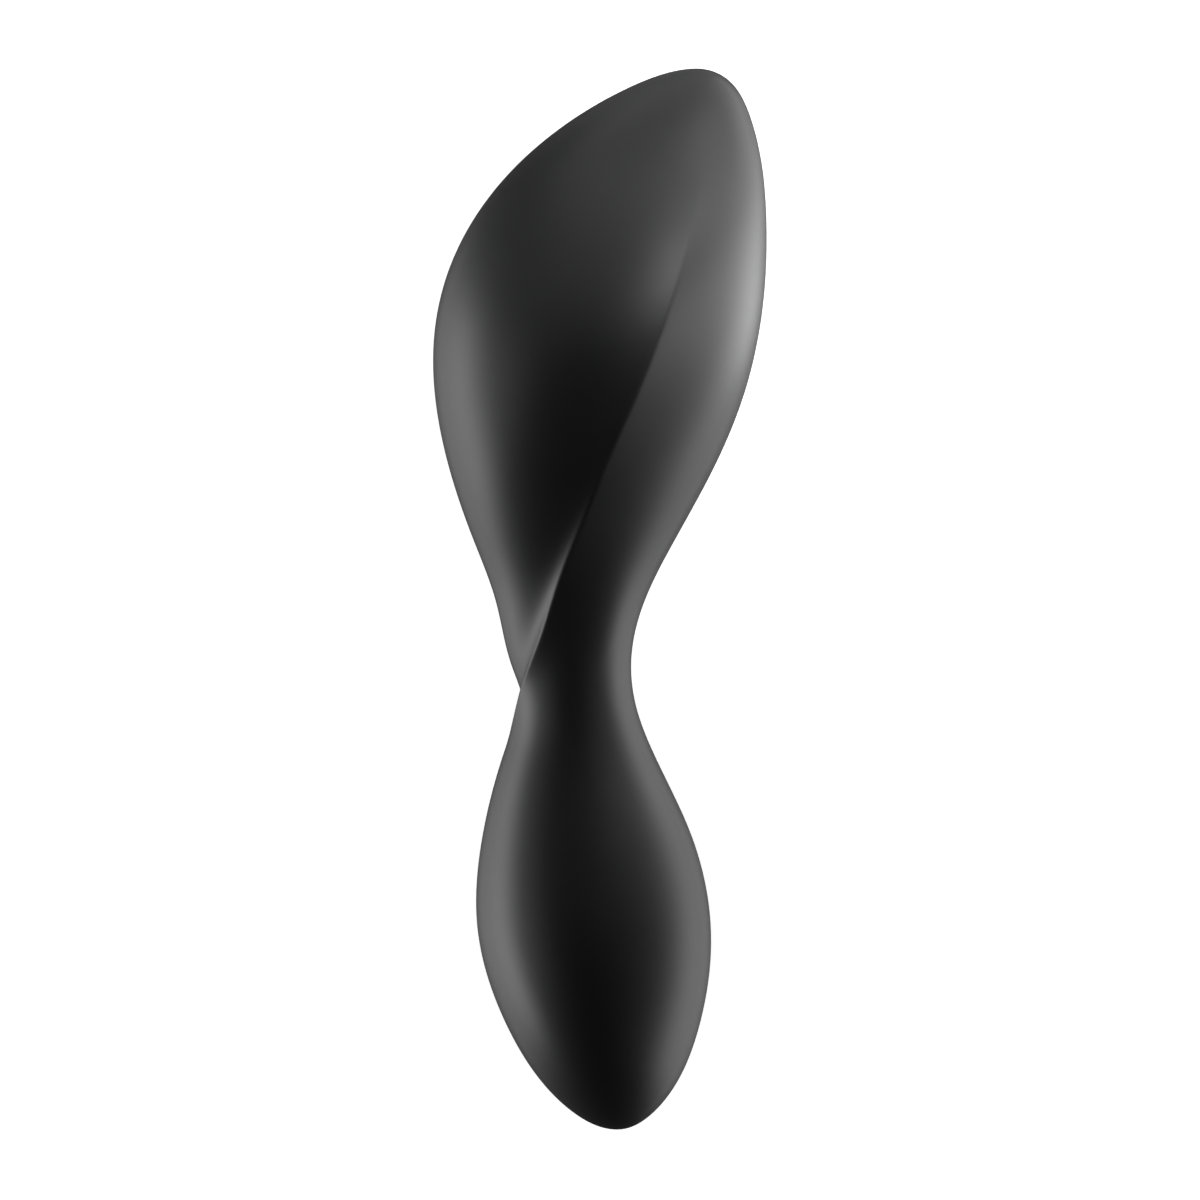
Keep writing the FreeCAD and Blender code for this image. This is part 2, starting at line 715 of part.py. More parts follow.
def board_electronics():
    """Chips, driver transistors and capacitors on the board's inner face, and the status light."""
    as_node("controller_chip", board_part("controller_package", "controller", (1.0, 0.0)), PANEL)
    as_node("charge_controller_chip", board_part("charger_package", "charger", (-5.5, 0.0)), PANEL)
    drivers = [board_part("driver_%d" % i, "driver", at) for i, at in enumerate(DRIVERS_AT)]
    as_node("motor_driver_transistors", doc_compound("drivers", drivers), PANEL)
    caps = [board_part("cap_%d" % i, "capacitor", at) for i, at in enumerate(CAPACITORS_AT)]
    as_node("board_capacitors", doc_compound("capacitors", caps), PANEL)
    as_node("status_led", board_part("led_package", "led", (LIGHT_AT, 0.0), under=False), PANEL)


def press_switch(name, along):
    """A press switch: a square base with a round plunger that slides in it."""
    base = block(name + "_box", "switch_side", "switch_side", "switch_height", (along, 0, BOARD_TOP))
    bore = rod(name + "_bore", "plunger_radius + stem_clearance", "switch_height", (along, 0, BOARD_TOP))
    as_node(name + "_switch_base", cut(name + "_switch_body", base, bore), PANEL)
    plunger = rod(name + "_pin", "plunger_radius", "plunger_length", (along, 0, PLUNGER_FOOT))
    as_node(name + "_switch_plunger", plunger, PANEL)


# ---------------------------------------------------------------- rechargeable cell

FOAM_BANDS_AT = (0.3, 0.75)      # shares of the cell's length


def battery():
    """A cylindrical cell with a safety board on its front end, held by two foam bands."""
    as_node("battery_cell", rod("cell", "cell_radius", "cell_length"), CELL)
    top = (0, 0, size("cell_length"))
    guard = rod("cell_guard", "cell_radius - cell_cap_step", "board_thickness", top)
    as_node("battery_safety_board", guard, CELL)
    bands = []
    for number, share in enumerate(FOAM_BANDS_AT):
        at = (0, 0, size("cell_length") * share)
        band = rod("band_%d" % number, "cell_radius + foam_thickness", "foam_width", at)
        bore = rod("band_bore_%d" % number, "cell_radius", "foam_width", at)
        bands.append(cut("foam_band_%d" % number, band, bore))
    as_node("battery_foam_pads", doc_compound("foam_bands", bands), CELL)


# ---------------------------------------------------------------- vibration motors

def motor_can(name, frame):
    """A drawn steel can, open at the back, with a neck that holds the front bushing."""
    length = size("can_length")
    wall = size("can_wall")
    shell = rod(name + "_shell", "can_radius", "can_length", (0, 0, -length))
    room = rod(name + "_room", "can_radius - can_wall", "can_length - can_wall", (0, 0, -length))
    seat = rod(name + "_seat", "bushing_radius", "can_wall", (0, 0, -wall))
    as_node(name + "_can", cut(name + "_can_body", shell, room, seat), frame)


def motor_magnets(name, frame):
    """Two arc magnets against the inside of the can."""
    front = size("can_wall") + size("bushing_length") - size("magnet_overlap")
    low = -front - size("magnet_length")
    ring = cut(
        name + "_magnet_ring",
        rod(name + "_magnet_outer", "can_radius - can_wall", "magnet_length", (0, 0, low)),
        rod(name + "_magnet_inner", "magnet_radius", "magnet_length", (0, 0, low)),
    )
    gap = block(name + "_magnet_gap", "magnet_gap", "can_radius * 2", "magnet_length", (0, 0, low))
    as_node(name + "_magnets", cut(name + "_magnet_pair", ring, gap), frame)


def motor_endcap(name, frame):
    """The plastic cap that closes the can and carries the brushes and the back bushing."""
    length = size("can_length")
    disc = rod(name + "_cap_disc", "can_radius - can_wall", "endcap_thickness", (0, 0, -length))
    seat = rod(name + "_cap_seat", "bushing_radius", "endcap_thickness", (0, 0, -length))
    as_node(name + "_endcap", cut(name + "_cap_body", disc, seat), frame)


def motor_bushings(name, frame):
    """Two sintered bushings that the shaft runs in."""
    places = (-size("bushing_length"), -size("can_length"))
    lengths = ("bushing_length", "endcap_thickness")
    rings = []
    for number in range(2):
        at = (0, 0, places[number])
        body = rod("%s_bushing_%d" % (name, number), "bushing_radius", lengths[number], at)
        bore = rod("%s_bore_%d" % (name, number), "shaft_radius + shaft_clearance", lengths[number], at)
        rings.append(cut("%s_bush_%d" % (name, number), body, bore))
    as_node(name + "_bushings", doc_compound(name + "_bushing_pair", rings), frame)


def motor_brushes(name, frame):
    """Two carbon brushes beside the commutator, on the endcap's inner face."""
    low = -size("can_length") + size("endcap_thickness")
    pair = []
    for number, side in enumerate((-1, 1)):
        x = side * (size("commutator_radius") + size("brush_gap") + size("brush_length") / 2)
        brush = "%s_brush_%d" % (name, number)
        pair.append(block(brush, "brush_length", "brush_width", "brush_height", (x, 0, low)))
    as_node(name + "_brushes", doc_compound(name + "_brush_pair", pair), frame)


def motor_mount(name, frame):
    """A rubber sleeve round the can."""
    place = -size("can_length") * 0.75
    length = "can_length / 2"
    ring = rod(name + "_sleeve", "can_radius + mount_wall", length, (0, 0, place))
    bore = rod(name + "_sleeve_bore", "can_radius", length, (0, 0, place))
    as_node(name + "_mount", cut(name + "_mount_ring", ring, bore), frame)


def rotor(name, frame):
    """The shaft and everything that turns with it."""
    back = -size("can_length") - size("shaft_back")
    shaft = rod(name + "_bar", "shaft_radius", "can_length + shaft_front + shaft_back", (0, 0, back))
    as_node(name + "_shaft", shaft, frame)
    armature(name, frame)
    low = -size("can_length") + size("endcap_thickness") + size("commutator_gap")
    drum = rod(name + "_drum", "commutator_radius", "commutator_length", (0, 0, low))
    bore = rod(name + "_drum_bore", "shaft_radius", "commutator_length", (0, 0, low))
    as_node(name + "_commutator", cut(name + "_drum_ring", drum, bore), frame)
    weight(name, frame)


def armature(name, frame):
    """Three wound poles on a hub."""
    body = doc.addObject("PartDesign::Body", name + "_armature_body")
    outline = new_sketch(body, name + "_armature_round")
    circle_in(outline, "armature_radius")
    circle_in(outline, "shaft_radius")
    pad(body, outline, "armature_length")
    slots = []
    for number in range(3):
        angle = number * FULL_TURN / 3
        place = size("pole_slot_place")
        at = (place * math.cos(angle), place * math.sin(angle), 0)
        slots.append(rod("%s_slot_%d" % (name, number), "armature_radius / 4", "armature_length", at))
    whole = cut(name + "_armature_cut", body, *slots)
    front = size("can_wall") + size("bushing_length") - size("armature_overlap")
    whole.Placement.Base.z = -front - size("armature_length")
    as_node(name + "_armature", whole, frame)


def weight(name, frame):
    """The off-centre weight: a hub and a half disc on one side of it."""
    low = size("shaft_front") - size("weight_length") - size("shaft_tip")
    hub = rod(name + "_hub", "weight_hub_radius", "weight_length", (0, 0, low))
    disc = rod(name + "_disc", "weight_radius", "weight_length", (0, 0, low))
    disc.Angle = 180
    whole = fuse(name + "_hub_and_disc", hub, disc)
    bore = rod(name + "_weight_bore", "shaft_radius", "weight_length", (0, 0, low))
    as_node(name + "_weight", cut(name + "_weight_body", whole, bore), frame)


def motor(name, rotor_name, frame):
    motor_can(name, frame)
    motor_magnets(name, frame)
    motor_endcap(name, frame)
    motor_bushings(name, frame)
    motor_brushes(name, frame)
    motor_mount(name, frame)
    rotor(rotor_name, frame)


# ---------------------------------------------------------------- leads

# A lead's points are chosen by hand, from its motor or the cell to a place under the board.
BATTERY_LEADS = (
    # name, place across and down the cell's end, straight rise from it, place along the board
    ("battery_lead_red", -0.6, -1.8, 3.6, -10.4),
    ("battery_lead_black", -3.4, 1.8, 4.0, -7.6),
)
BATTERY_LEADS_ACROSS = 3.4
HEAD_LEADS = (
    # place across the endcap, place along the board
    (-10.0, 12.4),
    (-6.6, 10.4),
)
HEAD_LEADS_ACROSS = -3.0
TIP_LEADS = (
    (-3.2, 4.6),
    (1.2, 2.6),
)
TIP_LEADS_ACROSS = -4.6
BOARD_APPROACH = 3.2
TRIM_SHARE = 0.42                # how much of the shorter run an arc takes up


def rounded_path(points):
    """Straight runs joined by tangent arcs, each as large as its two runs allow."""
    edges = []
    start = points[0]
    for i in range(1, len(points) - 1):
        back = points[i - 1] - points[i]
        ahead = points[i + 1] - points[i]
        trim = TRIM_SHARE * min(back.Length, ahead.Length)
        half_turn = (math.pi - back.getAngle(ahead)) / 2
        radius = trim / math.tan(half_turn)
        first = points[i] + back.normalize() * trim
        second = points[i] + ahead.normalize() * trim
        middle = (back + ahead).normalize()
        top = points[i] + middle * (trim / math.sin(half_turn) * (1 - math.cos(half_turn)))
        if radius < 2 * size("lead_radius"):
            print("tight bend of radius %.2f at %s" % (radius, points[i]))
        edges.append(Part.LineSegment(start, first).toShape())
        edges.append(Part.Arc(first, top, second).toShape())
        start = second
    edges.append(Part.LineSegment(start, points[-1]).toShape())
    return Part.Wire(edges)


def lead(points):
    """One insulated wire along its path."""
    path = rounded_path(points)
    direction = points[1] - points[0]
    ring = Part.Wire(Part.makeCircle(size("lead_radius"), points[0], direction))
    return path.makePipeShell([ring], True, False)


def on_board(along, across, depth):
    return PANEL.multVec(FreeCAD.Vector(along, across, depth))


def board_end(along, across):
    """The last two points of a lead that meets the board's inner face squarely."""
    approach = on_board(along, across, BOARD_UNDER - BOARD_APPROACH)
    return [approach, on_board(along, across, BOARD_UNDER)]


def leads():
    """Leads from the cell and from both motors to the board."""
    gap = size("solder_gap")
    top = size("cell_length") + size("board_thickness")
    for name, x, down, rise, along in BATTERY_LEADS:
        points = [CELL.multVec(FreeCAD.Vector(x, down, top + high)) for high in (gap, rise)]
        points += board_end(along, BATTERY_LEADS_ACROSS)
        as_node(name, feature(name + "_wire", lead(points)))
    pair = []
    back = HEAD_MOTOR.Base.y - size("can_length")
    for x, along in HEAD_LEADS:
        points = [
            FreeCAD.Vector(x, back - gap, 20.0),
            FreeCAD.Vector(x, 12.3, 20.0),
            FreeCAD.Vector(x, 12.3, 12.0),
            FreeCAD.Vector(x, 22.0, 10.8),
            FreeCAD.Vector(x - 1, 38.0, 9.4),
            FreeCAD.Vector(x - 1, 46.0, 9.8),
        ]
        pair.append(lead(points + board_end(along, HEAD_LEADS_ACROSS)))
    as_node("head_motor_leads", feature("head_motor_wires", Part.Compound(pair)))
    pair = []
    back = TIP_MOTOR.Base.y + size("can_length")
    for x, along in TIP_LEADS:
        points = [
            FreeCAD.Vector(x, back + gap, 16.3),
            FreeCAD.Vector(x, -24.0, 16.5),
            FreeCAD.Vector(x / 3 - 3.6, -12.0, 17.4),
            FreeCAD.Vector(x / 3 - 3.0, 2.0, 16.0),
            FreeCAD.Vector(x / 3 - 0.6, 16.0, 10.8),
            FreeCAD.Vector(x / 3 - 0.4, 34.0, 9.4),
            FreeCAD.Vector(x / 3 - 1.0, 48.0, 11.0),
        ]
        pair.append(lead(points + board_end(along, TIP_LEADS_ACROSS)))
    as_node("tip_motor_leads", feature("tip_motor_wires", Part.Compound(pair)))


# ---------------------------------------------------------------- build, check and write

outer_skin()
panel_parts()
panel_button("power_button", POWER_AT)
panel_button("mode_button", MODE_AT)
core_shells()
core_screws()
seals()
charging_contacts()
light_pipe()
circuit_board()
board_electronics()
press_switch("power", POWER_AT)
press_switch("mode", MODE_AT)
battery()
motor("head_motor", "head_rotor", HEAD_MOTOR)
motor("tip_motor", "tip_rotor", TIP_MOTOR)
leads()
doc.recompute()

for item in doc.Objects:
    if "Invalid" in item.State or "Error" in item.State:
        raise RuntimeError("%s did not build: %s" % (item.Name, item.State))
for name, item in nodes.items():
    if item.Shape.isNull() or not item.Shape.isValid() or not item.Shape.Solids:
        raise RuntimeError("%s has no valid solid" % name)

os.makedirs("parts", exist_ok=True)
for name, item in nodes.items():
    item.Shape.exportStep("parts/%s.step" % name)
print("%d sub-parts written" % len(nodes))
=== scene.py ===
from collections import namedtuple
import json
import math

import bpy
import numpy as np
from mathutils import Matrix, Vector


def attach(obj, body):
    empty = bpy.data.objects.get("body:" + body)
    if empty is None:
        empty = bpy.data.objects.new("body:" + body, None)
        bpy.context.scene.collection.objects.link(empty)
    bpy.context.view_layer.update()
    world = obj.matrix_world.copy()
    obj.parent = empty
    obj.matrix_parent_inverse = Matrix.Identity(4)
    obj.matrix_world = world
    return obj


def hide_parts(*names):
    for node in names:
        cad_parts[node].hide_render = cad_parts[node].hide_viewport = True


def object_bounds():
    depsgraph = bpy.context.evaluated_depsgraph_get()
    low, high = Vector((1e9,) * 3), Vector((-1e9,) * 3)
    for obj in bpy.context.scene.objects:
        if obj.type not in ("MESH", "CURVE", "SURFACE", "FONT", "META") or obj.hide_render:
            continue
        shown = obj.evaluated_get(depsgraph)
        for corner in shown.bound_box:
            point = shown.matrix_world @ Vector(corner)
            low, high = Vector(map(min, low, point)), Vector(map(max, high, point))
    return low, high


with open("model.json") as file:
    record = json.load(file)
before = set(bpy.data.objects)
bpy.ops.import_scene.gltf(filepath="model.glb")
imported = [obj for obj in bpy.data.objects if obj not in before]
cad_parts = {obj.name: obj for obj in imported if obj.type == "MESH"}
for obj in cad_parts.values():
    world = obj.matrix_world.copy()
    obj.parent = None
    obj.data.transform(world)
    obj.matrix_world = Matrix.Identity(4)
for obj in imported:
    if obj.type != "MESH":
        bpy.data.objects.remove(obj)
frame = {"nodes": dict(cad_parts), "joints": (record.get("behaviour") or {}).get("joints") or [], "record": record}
CAD_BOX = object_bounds()
MIDDLE = (Vector(CAD_BOX[0]) + Vector(CAD_BOX[1])) / 2

# Looks of a two-lobed handheld massager, lying on its back. Shapes below are worked out in
# millimetres in the CAD model's own frame and written to meshes in metres.

MM = 0.001
TURN = 2 * math.pi
HALF_LENGTH = 82.5

# Sections across the body: y, left edge, right edge, lowest point, highest point, how far the
# crown leans to the left, angle of the ridge round the section, drop and foot of the scoop to the
# left of the ridge, and drop and foot of the facet to its right. They are the CAD model's own.
SECTIONS = (
    (-82.5, 2.7, 2.7, 15.5, 15.5, 0.00, 262, 0.0, 3.0, 0.0, 4.5),
    (-80.0, -3.9, 8.1, 9.8, 21.8, 0.03, 262, 0.0, 3.0, 0.0, 4.5),
    (-74.0, -9.9, 12.6, 4.9, 27.0, 0.06, 262, 0.0, 3.0, 0.0, 4.5),
    (-65.0, -15.1, 15.8, 1.5, 30.8, 0.09, 262, 0.0, 3.0, 0.0, 4.5),
    (-50.0, -19.2, 17.2, 0.0, 31.6, 0.10, 262, 0.0, 3.0, 0.0, 4.5),
    (-35.0, -18.0, 13.6, 2.3, 28.9, 0.08, 244, 0.3, 2.4, 0.0, 4.5),
    (-25.0, -15.4, 8.9, 5.4, 27.0, 0.05, 206, 1.2, 1.8, 0.0, 4.5),
    (-17.5, -13.6, 5.9, 7.6, 26.3, 0.02, 168, 1.9, 1.6, 0.0, 4.5),
    (-10.0, -14.9, 4.85, 8.5, 26.6, 0.00, 127.7, 2.2, 1.6, 0.6, 4.5),
    (0.0, -16.6, 7.0, 7.9, 28.6, 0.00, 102.8, 1.7, 1.5, 0.95, 4.7),
    (10.0, -20.0, 12.0, 5.7, 32.8, 0.04, 86, 1.2, 1.5, 1.1, 5.2),
    (20.0, -23.3, 17.4, 3.0, 37.6, 0.05, 77.3, 0.7, 1.8, 1.4, 6.6),
    (30.0, -25.4, 21.7, 0.9, 40.8, 0.04, 70.9, 0.3, 2.0, 2.2, 8.0),
    (40.0, -25.8, 24.4, 0.0, 41.4, 0.00, 67.2, 0.1, 3.0, 3.0, 9.0),
    (50.0, -23.9, 25.7, 0.8, 39.2, -0.04, 64.8, 0.0, 3.0, 2.3, 9.6),
    (58.0, -20.3, 25.9, 2.7, 36.0, -0.02, 61.4, 0.0, 3.0, 1.2, 9.8),
    (66.0, -14.4, 25.4, 5.7, 31.8, 0.05, 56.3, 0.0, 3.0, 0.35, 9.5),
    (74.0, -5.2, 23.7, 10.1, 27.4, 0.08, 50, 0.0, 3.0, 0.0, 9.5),
    (80.0, 5.4, 20.7, 15.0, 23.2, 0.05, 50, 0.0, 3.0, 0.0, 9.5),
    (82.5, 15.1, 15.1, 19.4, 19.4, 0.00, 50, 0.0, 3.0, 0.0, 9.5),
)
SCOOP_SPAN = math.radians(112)
FACET_SPAN = math.radians(70)
RUN_UP = math.radians(40)      # the hidden inner wall steps down from this far before the ridge
RUN_OUT = math.radians(12)     # to this far past it
RIDGE_EDGE = 0.16              # rounding of the ridge's crest
HIDDEN_EDGE = 3.0              # and of the hidden inner wall under it
LEAST_FOOT = 1.0

SKIN_THICKNESS = 2.3
PANEL_THICKNESS = 1.6
PANEL_STRAIGHT = 10.5          # half the straight sides of the slot-shaped panel
PANEL_ROUND = 6.5
PARTING = 0.07                 # half the fine gap between the skin and the panel
SKIN_LIP = 0.35                # radii of the rounded borders of the skin, the panel and its holes
PANEL_LIP = 0.3
HOLE_LIP = 0.22
LIP_DEGREES = (22.5, 45, 67.5, 90)
WALL_SHARE = 0.6               # a border's wall has a row of points this far down its depth

# places along the panel from its middle, and heights over its plane
POWER_AT = 9.8
MODE_AT = -10.8
LIGHT_AT = -4.6
CONTACTS_AT = (-1.0, 3.2)
BOARD_TOP = -9.6
LED_TOP = -8.8
STEM_FOOT = -7.3

BUTTON_RADIUS = 4.3
BUTTON_HOLE = 4.55
BUTTON_PROUD = 0.42
BUTTON_DISH = 0.3
BUTTON_EDGE = 0.45
BUTTON_SKIRT = -1.35
SKIRT_EDGE = 0.2
STEM_RADIUS = 1.5
CONTACT_RADIUS = 1.25
CONTACT_HOLE = 1.33
CONTACT_FOOT_RADIUS = 0.6
CONTACT_SHOULDER = BOARD_TOP / 1.5
CONTACT_PROUD = 0.25
LIGHT_RADIUS = 0.8
LIGHT_HOLE = 0.85
PEG_EDGE = 0.1                 # bevel at the foot of the contacts and the light pipe
MARK_WIDTH = 0.24

PANEL_REACH = 9.0              # nothing of the panel is farther than this from its plane
TURNED_WITHIN = 6.0            # the skin's wall turns square to the panel over this distance

ROUND_COUNT = 300              # points round the skin, and rows along it
ALONG_COUNT = 260
RIDGE_CROWDING = 2.6           # how much closer together the points are beside the ridge
PANEL_CELL = 0.24              # spacing of the panel's points


# ---------------------------------------------------------------- the body's surface

def natural_spline(knots, values):
    """A smooth curve through the values, with no bend at either end."""
    count = len(knots)
    gaps = np.diff(knots)
    slopes = np.diff(values) / gaps
    matrix = np.eye(count)
    load = np.zeros(count)
    for i in range(1, count - 1):
        matrix[i, i - 1:i + 2] = (gaps[i - 1], 2 * (gaps[i - 1] + gaps[i]), gaps[i])
        load[i] = 6 * (slopes[i] - slopes[i - 1])
    bend = np.linalg.solve(matrix, load)

    def at(s):
        i = np.clip(np.searchsorted(knots, s) - 1, 0, count - 2)
        a = (knots[i + 1] - s) / gaps[i]
        b = 1 - a
        curved = (a ** 3 - a) * bend[i] + (b ** 3 - b) * bend[i + 1]
        return a * values[i] + b * values[i + 1] + curved * gaps[i] ** 2 / 6

    return at


COLUMNS = np.array(SECTIONS).T
KNOTS = np.arccos(np.clip(-COLUMNS[0] / HALF_LENGTH, -1, 1)) / math.pi
CURVES = [natural_spline(KNOTS, column) for column in COLUMNS[1:]]


def body_point(s, beyond, hidden=False):
    """Points of the surface at stations s, 0 to 1 from the lobe's tip to the head's top, and at
    angles beyond the ridge. The hidden inner wall has a broad step in place of the ridge."""
    left, right, belly, crown, lean, ridge, scoop, scoop_foot, facet, facet_foot = [c(s) for c in CURVES]
    half_width = (right - left) / 2
    half_height = (crown - belly) / 2
    angle = np.radians(ridge) + beyond
    sine = np.sin(angle)
    cosine = np.cos(angle)
    x = (left + right) / 2 + half_width * (cosine - lean * sine ** 3)
    z = (belly + crown) / 2 + half_height * sine
    across = half_width * (-sine - 3 * lean * sine ** 2 * cosine)
    rise = half_height * cosine
    length = np.maximum(np.hypot(across, rise), 1e-9)
    past = np.mod(beyond, TURN)
    past = np.where(past > 0.75 * TURN, past - TURN, past)
    distance = past * (half_width + half_height) / 2
    if hidden:
        t = np.clip((past + RUN_UP) / (RUN_UP + RUN_OUT), 0, 1)
        scoop_step = t * t * (3 - 2 * t)
        facet_run = HIDDEN_EDGE * np.logaddexp(0, -distance / HIDDEN_EDGE)
    else:
        scoop_run = RIDGE_EDGE * np.logaddexp(0, distance / RIDGE_EDGE)
        scoop_step = 1 - np.exp(-scoop_run / np.maximum(scoop_foot, LEAST_FOOT))
        facet_run = RIDGE_EDGE * np.logaddexp(0, -distance / RIDGE_EDGE)
    facet_step = 1 - np.exp(-facet_run / np.maximum(facet_foot, LEAST_FOOT))
    scoop_fade = np.clip(past / SCOOP_SPAN, 0, 1)
    facet_fade = np.clip(-past / FACET_SPAN, 0, 1)
    cut = np.maximum(scoop, 0) * scoop_step * np.cos(math.pi / 2 * scoop_fade) ** 2
    cut = cut + np.maximum(facet, 0) * facet_step * np.cos(math.pi / 2 * facet_fade) ** 2
    y = -HALF_LENGTH * np.cos(math.pi * s)
    return np.stack((x - cut * rise / length, y, z + cut * across / length), axis=-1)


def outward(s, beyond, hidden=False):
    """Unit normals of the surface."""
    step = 5e-4
    ahead = body_point(np.minimum(s + step, 1), beyond, hidden)
    behind = body_point(np.maximum(s - step, 0), beyond, hidden)
    turned = body_point(s, beyond + step, hidden) - body_point(s, beyond - step, hidden)
    normal = np.cross(ahead - behind, turned)
    size = np.linalg.norm(normal, axis=-1, keepdims=True)
    return normal / np.maximum(size, 1e-12)


# ---------------------------------------------------------------- the panel's own frame

JOINTS = {joint["name"]: joint for joint in frame["joints"]}
MOUNTS = {mount["name"]: mount for mount in frame["record"]["mounts"]}
PANEL_OUT = -np.array(JOINTS["power_button_press"]["axis"])
PANEL_OUT = PANEL_OUT / np.linalg.norm(PANEL_OUT)
PANEL_ALONG = np.array((PANEL_OUT[1], -PANEL_OUT[0], 0.0))
PANEL_ALONG = -PANEL_ALONG / np.linalg.norm(PANEL_ALONG)
PANEL_UP = np.cross(PANEL_OUT, PANEL_ALONG)
CONTACT_TOP = np.array(MOUNTS["charging_contact_face"]["pos_m"]) / MM
PANEL_CENTRE = CONTACT_TOP - PANEL_ALONG * CONTACTS_AT[0] - PANEL_OUT * CONTACT_PROUD


def to_panel(points):
    """Places along and up the panel, and heights over its plane."""
    offset = points - PANEL_CENTRE
    return np.stack((offset @ PANEL_ALONG, offset @ PANEL_UP, offset @ PANEL_OUT), axis=-1)


def from_panel(along, up, over):
    return PANEL_CENTRE + np.multiply.outer(along, PANEL_ALONG) \
        + np.multiply.outer(up, PANEL_UP) + np.multiply.outer(over, PANEL_OUT)


SEARCH_REACH = np.array((19.0, 9.0, 6.0))


def guess_terms(along, up):
    """The terms of a second-order surface over the panel."""
    return np.stack((along, up, along ** 2, up ** 2, along * up, np.ones_like(along)), axis=-1)


def first_guess():
    """Factors that guess a station and an angle from a place on the panel."""
    s, beyond = np.meshgrid(np.linspace(0.6, 0.99, 120), np.linspace(0.25, 0.65, 160) * TURN)
    s = s.ravel()
    beyond = beyond.ravel()
    place = to_panel(body_point(s, beyond))
    near = np.all(np.abs(place) < SEARCH_REACH, axis=1)
    terms = guess_terms(place[near, 0], place[near, 1])
    return np.linalg.lstsq(terms, np.column_stack((s[near], beyond[near])), rcond=None)[0]


GUESS = first_guess()
NEWTON_ROUNDS = 8


def surface_under(along, up):
    """Stations and angles of the surface points that lie at these places on the panel."""
    s, beyond = np.moveaxis(guess_terms(along, up) @ GUESS, -1, 0)
    step = 1e-4
    for _ in range(NEWTON_ROUNDS):
        here = to_panel(body_point(s, beyond))
        in_s = (to_panel(body_point(s + step, beyond)) - here) / step
        in_turn = (to_panel(body_point(s, beyond + step)) - here) / step
        miss_along = along - here[..., 0]
        miss_up = up - here[..., 1]
        scale = in_s[..., 0] * in_turn[..., 1] - in_s[..., 1] * in_turn[..., 0]
        s = s + (miss_along * in_turn[..., 1] - miss_up * in_turn[..., 0]) / scale
        beyond = beyond + (miss_up * in_s[..., 0] - miss_along * in_s[..., 1]) / scale
    return s, beyond


def on_surface(along, up, height):
    """Points at a height over the body's surface, measured square to the panel."""
    s, beyond = surface_under(along, up)
    return body_point(s, beyond) + PANEL_OUT * height[..., None]


def slot_distance(place, straight, round_radius):
    """Distance outside a slot shape, and the direction away from it."""
    inner = np.clip(place[:, 0], -straight, straight)
    away = np.column_stack((place[:, 0] - inner, place[:, 1]))
    size = np.maximum(np.linalg.norm(away, axis=1), 1e-9)
    return size - round_radius, away / size[:, None]


def circle_distance(place, centre, radius):
    away = place[:, :2] - np.array((centre, 0.0))
    size = np.maximum(np.linalg.norm(away, axis=1), 1e-9)
    return size - radius, away / size[:, None]


# ---------------------------------------------------------------- meshes

def add_object(name, points, faces, smooth_angle=None):
    """A mesh object from points in millimetres."""
    mesh = bpy.data.meshes.new(name)
    mesh.from_pydata((np.asarray(points) * MM).tolist(), [], faces)
    mesh.validate()
    mesh.update()
    mesh.shade_smooth()
    if smooth_angle is not None:
        mesh.set_sharp_from_angle(angle=math.radians(smooth_angle))
    item = bpy.data.objects.new(name, mesh)
    bpy.context.scene.collection.objects.link(item)
    return item


def border_loops(faces):
    """Ordered loops of the edges that only one face uses, each with that face on its left."""
    ahead = {}
    for face in faces:
        for a, b in zip(face, face[1:] + face[:1]):
            ahead[(a, b)] = True
    following = {a: b for a, b in ahead if (b, a) not in ahead}
    loops = []
    while following:
        start = next(iter(following))
        loop = [start]
        here = following.pop(start)
        while here != start:
            loop.append(here)
            here = following.pop(here)
        loops.append(loop)
    return loops


class Sheet:
    """Points on the body's surface with their faces, cut to outlines that lie on the panel."""

    def __init__(self, s, beyond, faces):
        self.s = s
        self.beyond = beyond
        self.faces = faces

    def faces_at_points(self):
        """How many faces use each point."""
        return np.bincount([v for face in self.faces for v in face], minlength=len(self.s))

    def trim(self, distance_to, level, keep_outside=True):
        """Drop the faces on one side of an outline, and move the new border onto it."""
        sign = 1 if keep_outside else -1
        place = to_panel(body_point(self.s, self.beyond))
        distance, away = distance_to(place)
        near = np.abs(place[:, 2]) < PANEL_REACH
        side = sign * (distance - level)
        value = np.where(near, side, sign)
        before = self.faces_at_points()
        self.faces = [face for face in self.faces if value[face].mean() > 0]
        used = self.faces_at_points()
        moved = np.where((used > 0) & near & ((used < before) | (side < 0)))[0]
        target = place[moved, :2] - (distance[moved] - level)[:, None] * away[moved]
        self.s[moved], self.beyond[moved] = surface_under(target[:, 0], target[:, 1])


def turned_to_panel(normal, points):
    """Normals that turn towards the panel's own over a short way round its opening."""
    place = to_panel(points)
    away = np.clip(panel_slot(place)[0] / TURNED_WITHIN, 0, 1)
    share = np.where(np.abs(place[:, 2]) < PANEL_REACH, 1 - away * away * (3 - 2 * away), 0)[:, None]
    blend = normal * (1 - share) + PANEL_OUT * share
    return blend / np.maximum(np.linalg.norm(blend, axis=1, keepdims=True), 1e-12)


# A border of a sheet: how far points are outside its outline, the radius of its rounding, whether
# the solid is outside the outline, and how far outside it the sheet is trimmed.
Edge = namedtuple("Edge", "distance_to lip solid_outside level")


def lip_rings(edge, depth):
    """Steps out and down from a border: a quarter round, then a wall."""
    turns = np.radians(LIP_DEGREES)
    rings = [(edge.lip * math.sin(turn), edge.lip * (1 - math.cos(turn))) for turn in turns]
    return rings + [(edge.lip, depth * WALL_SHARE)]


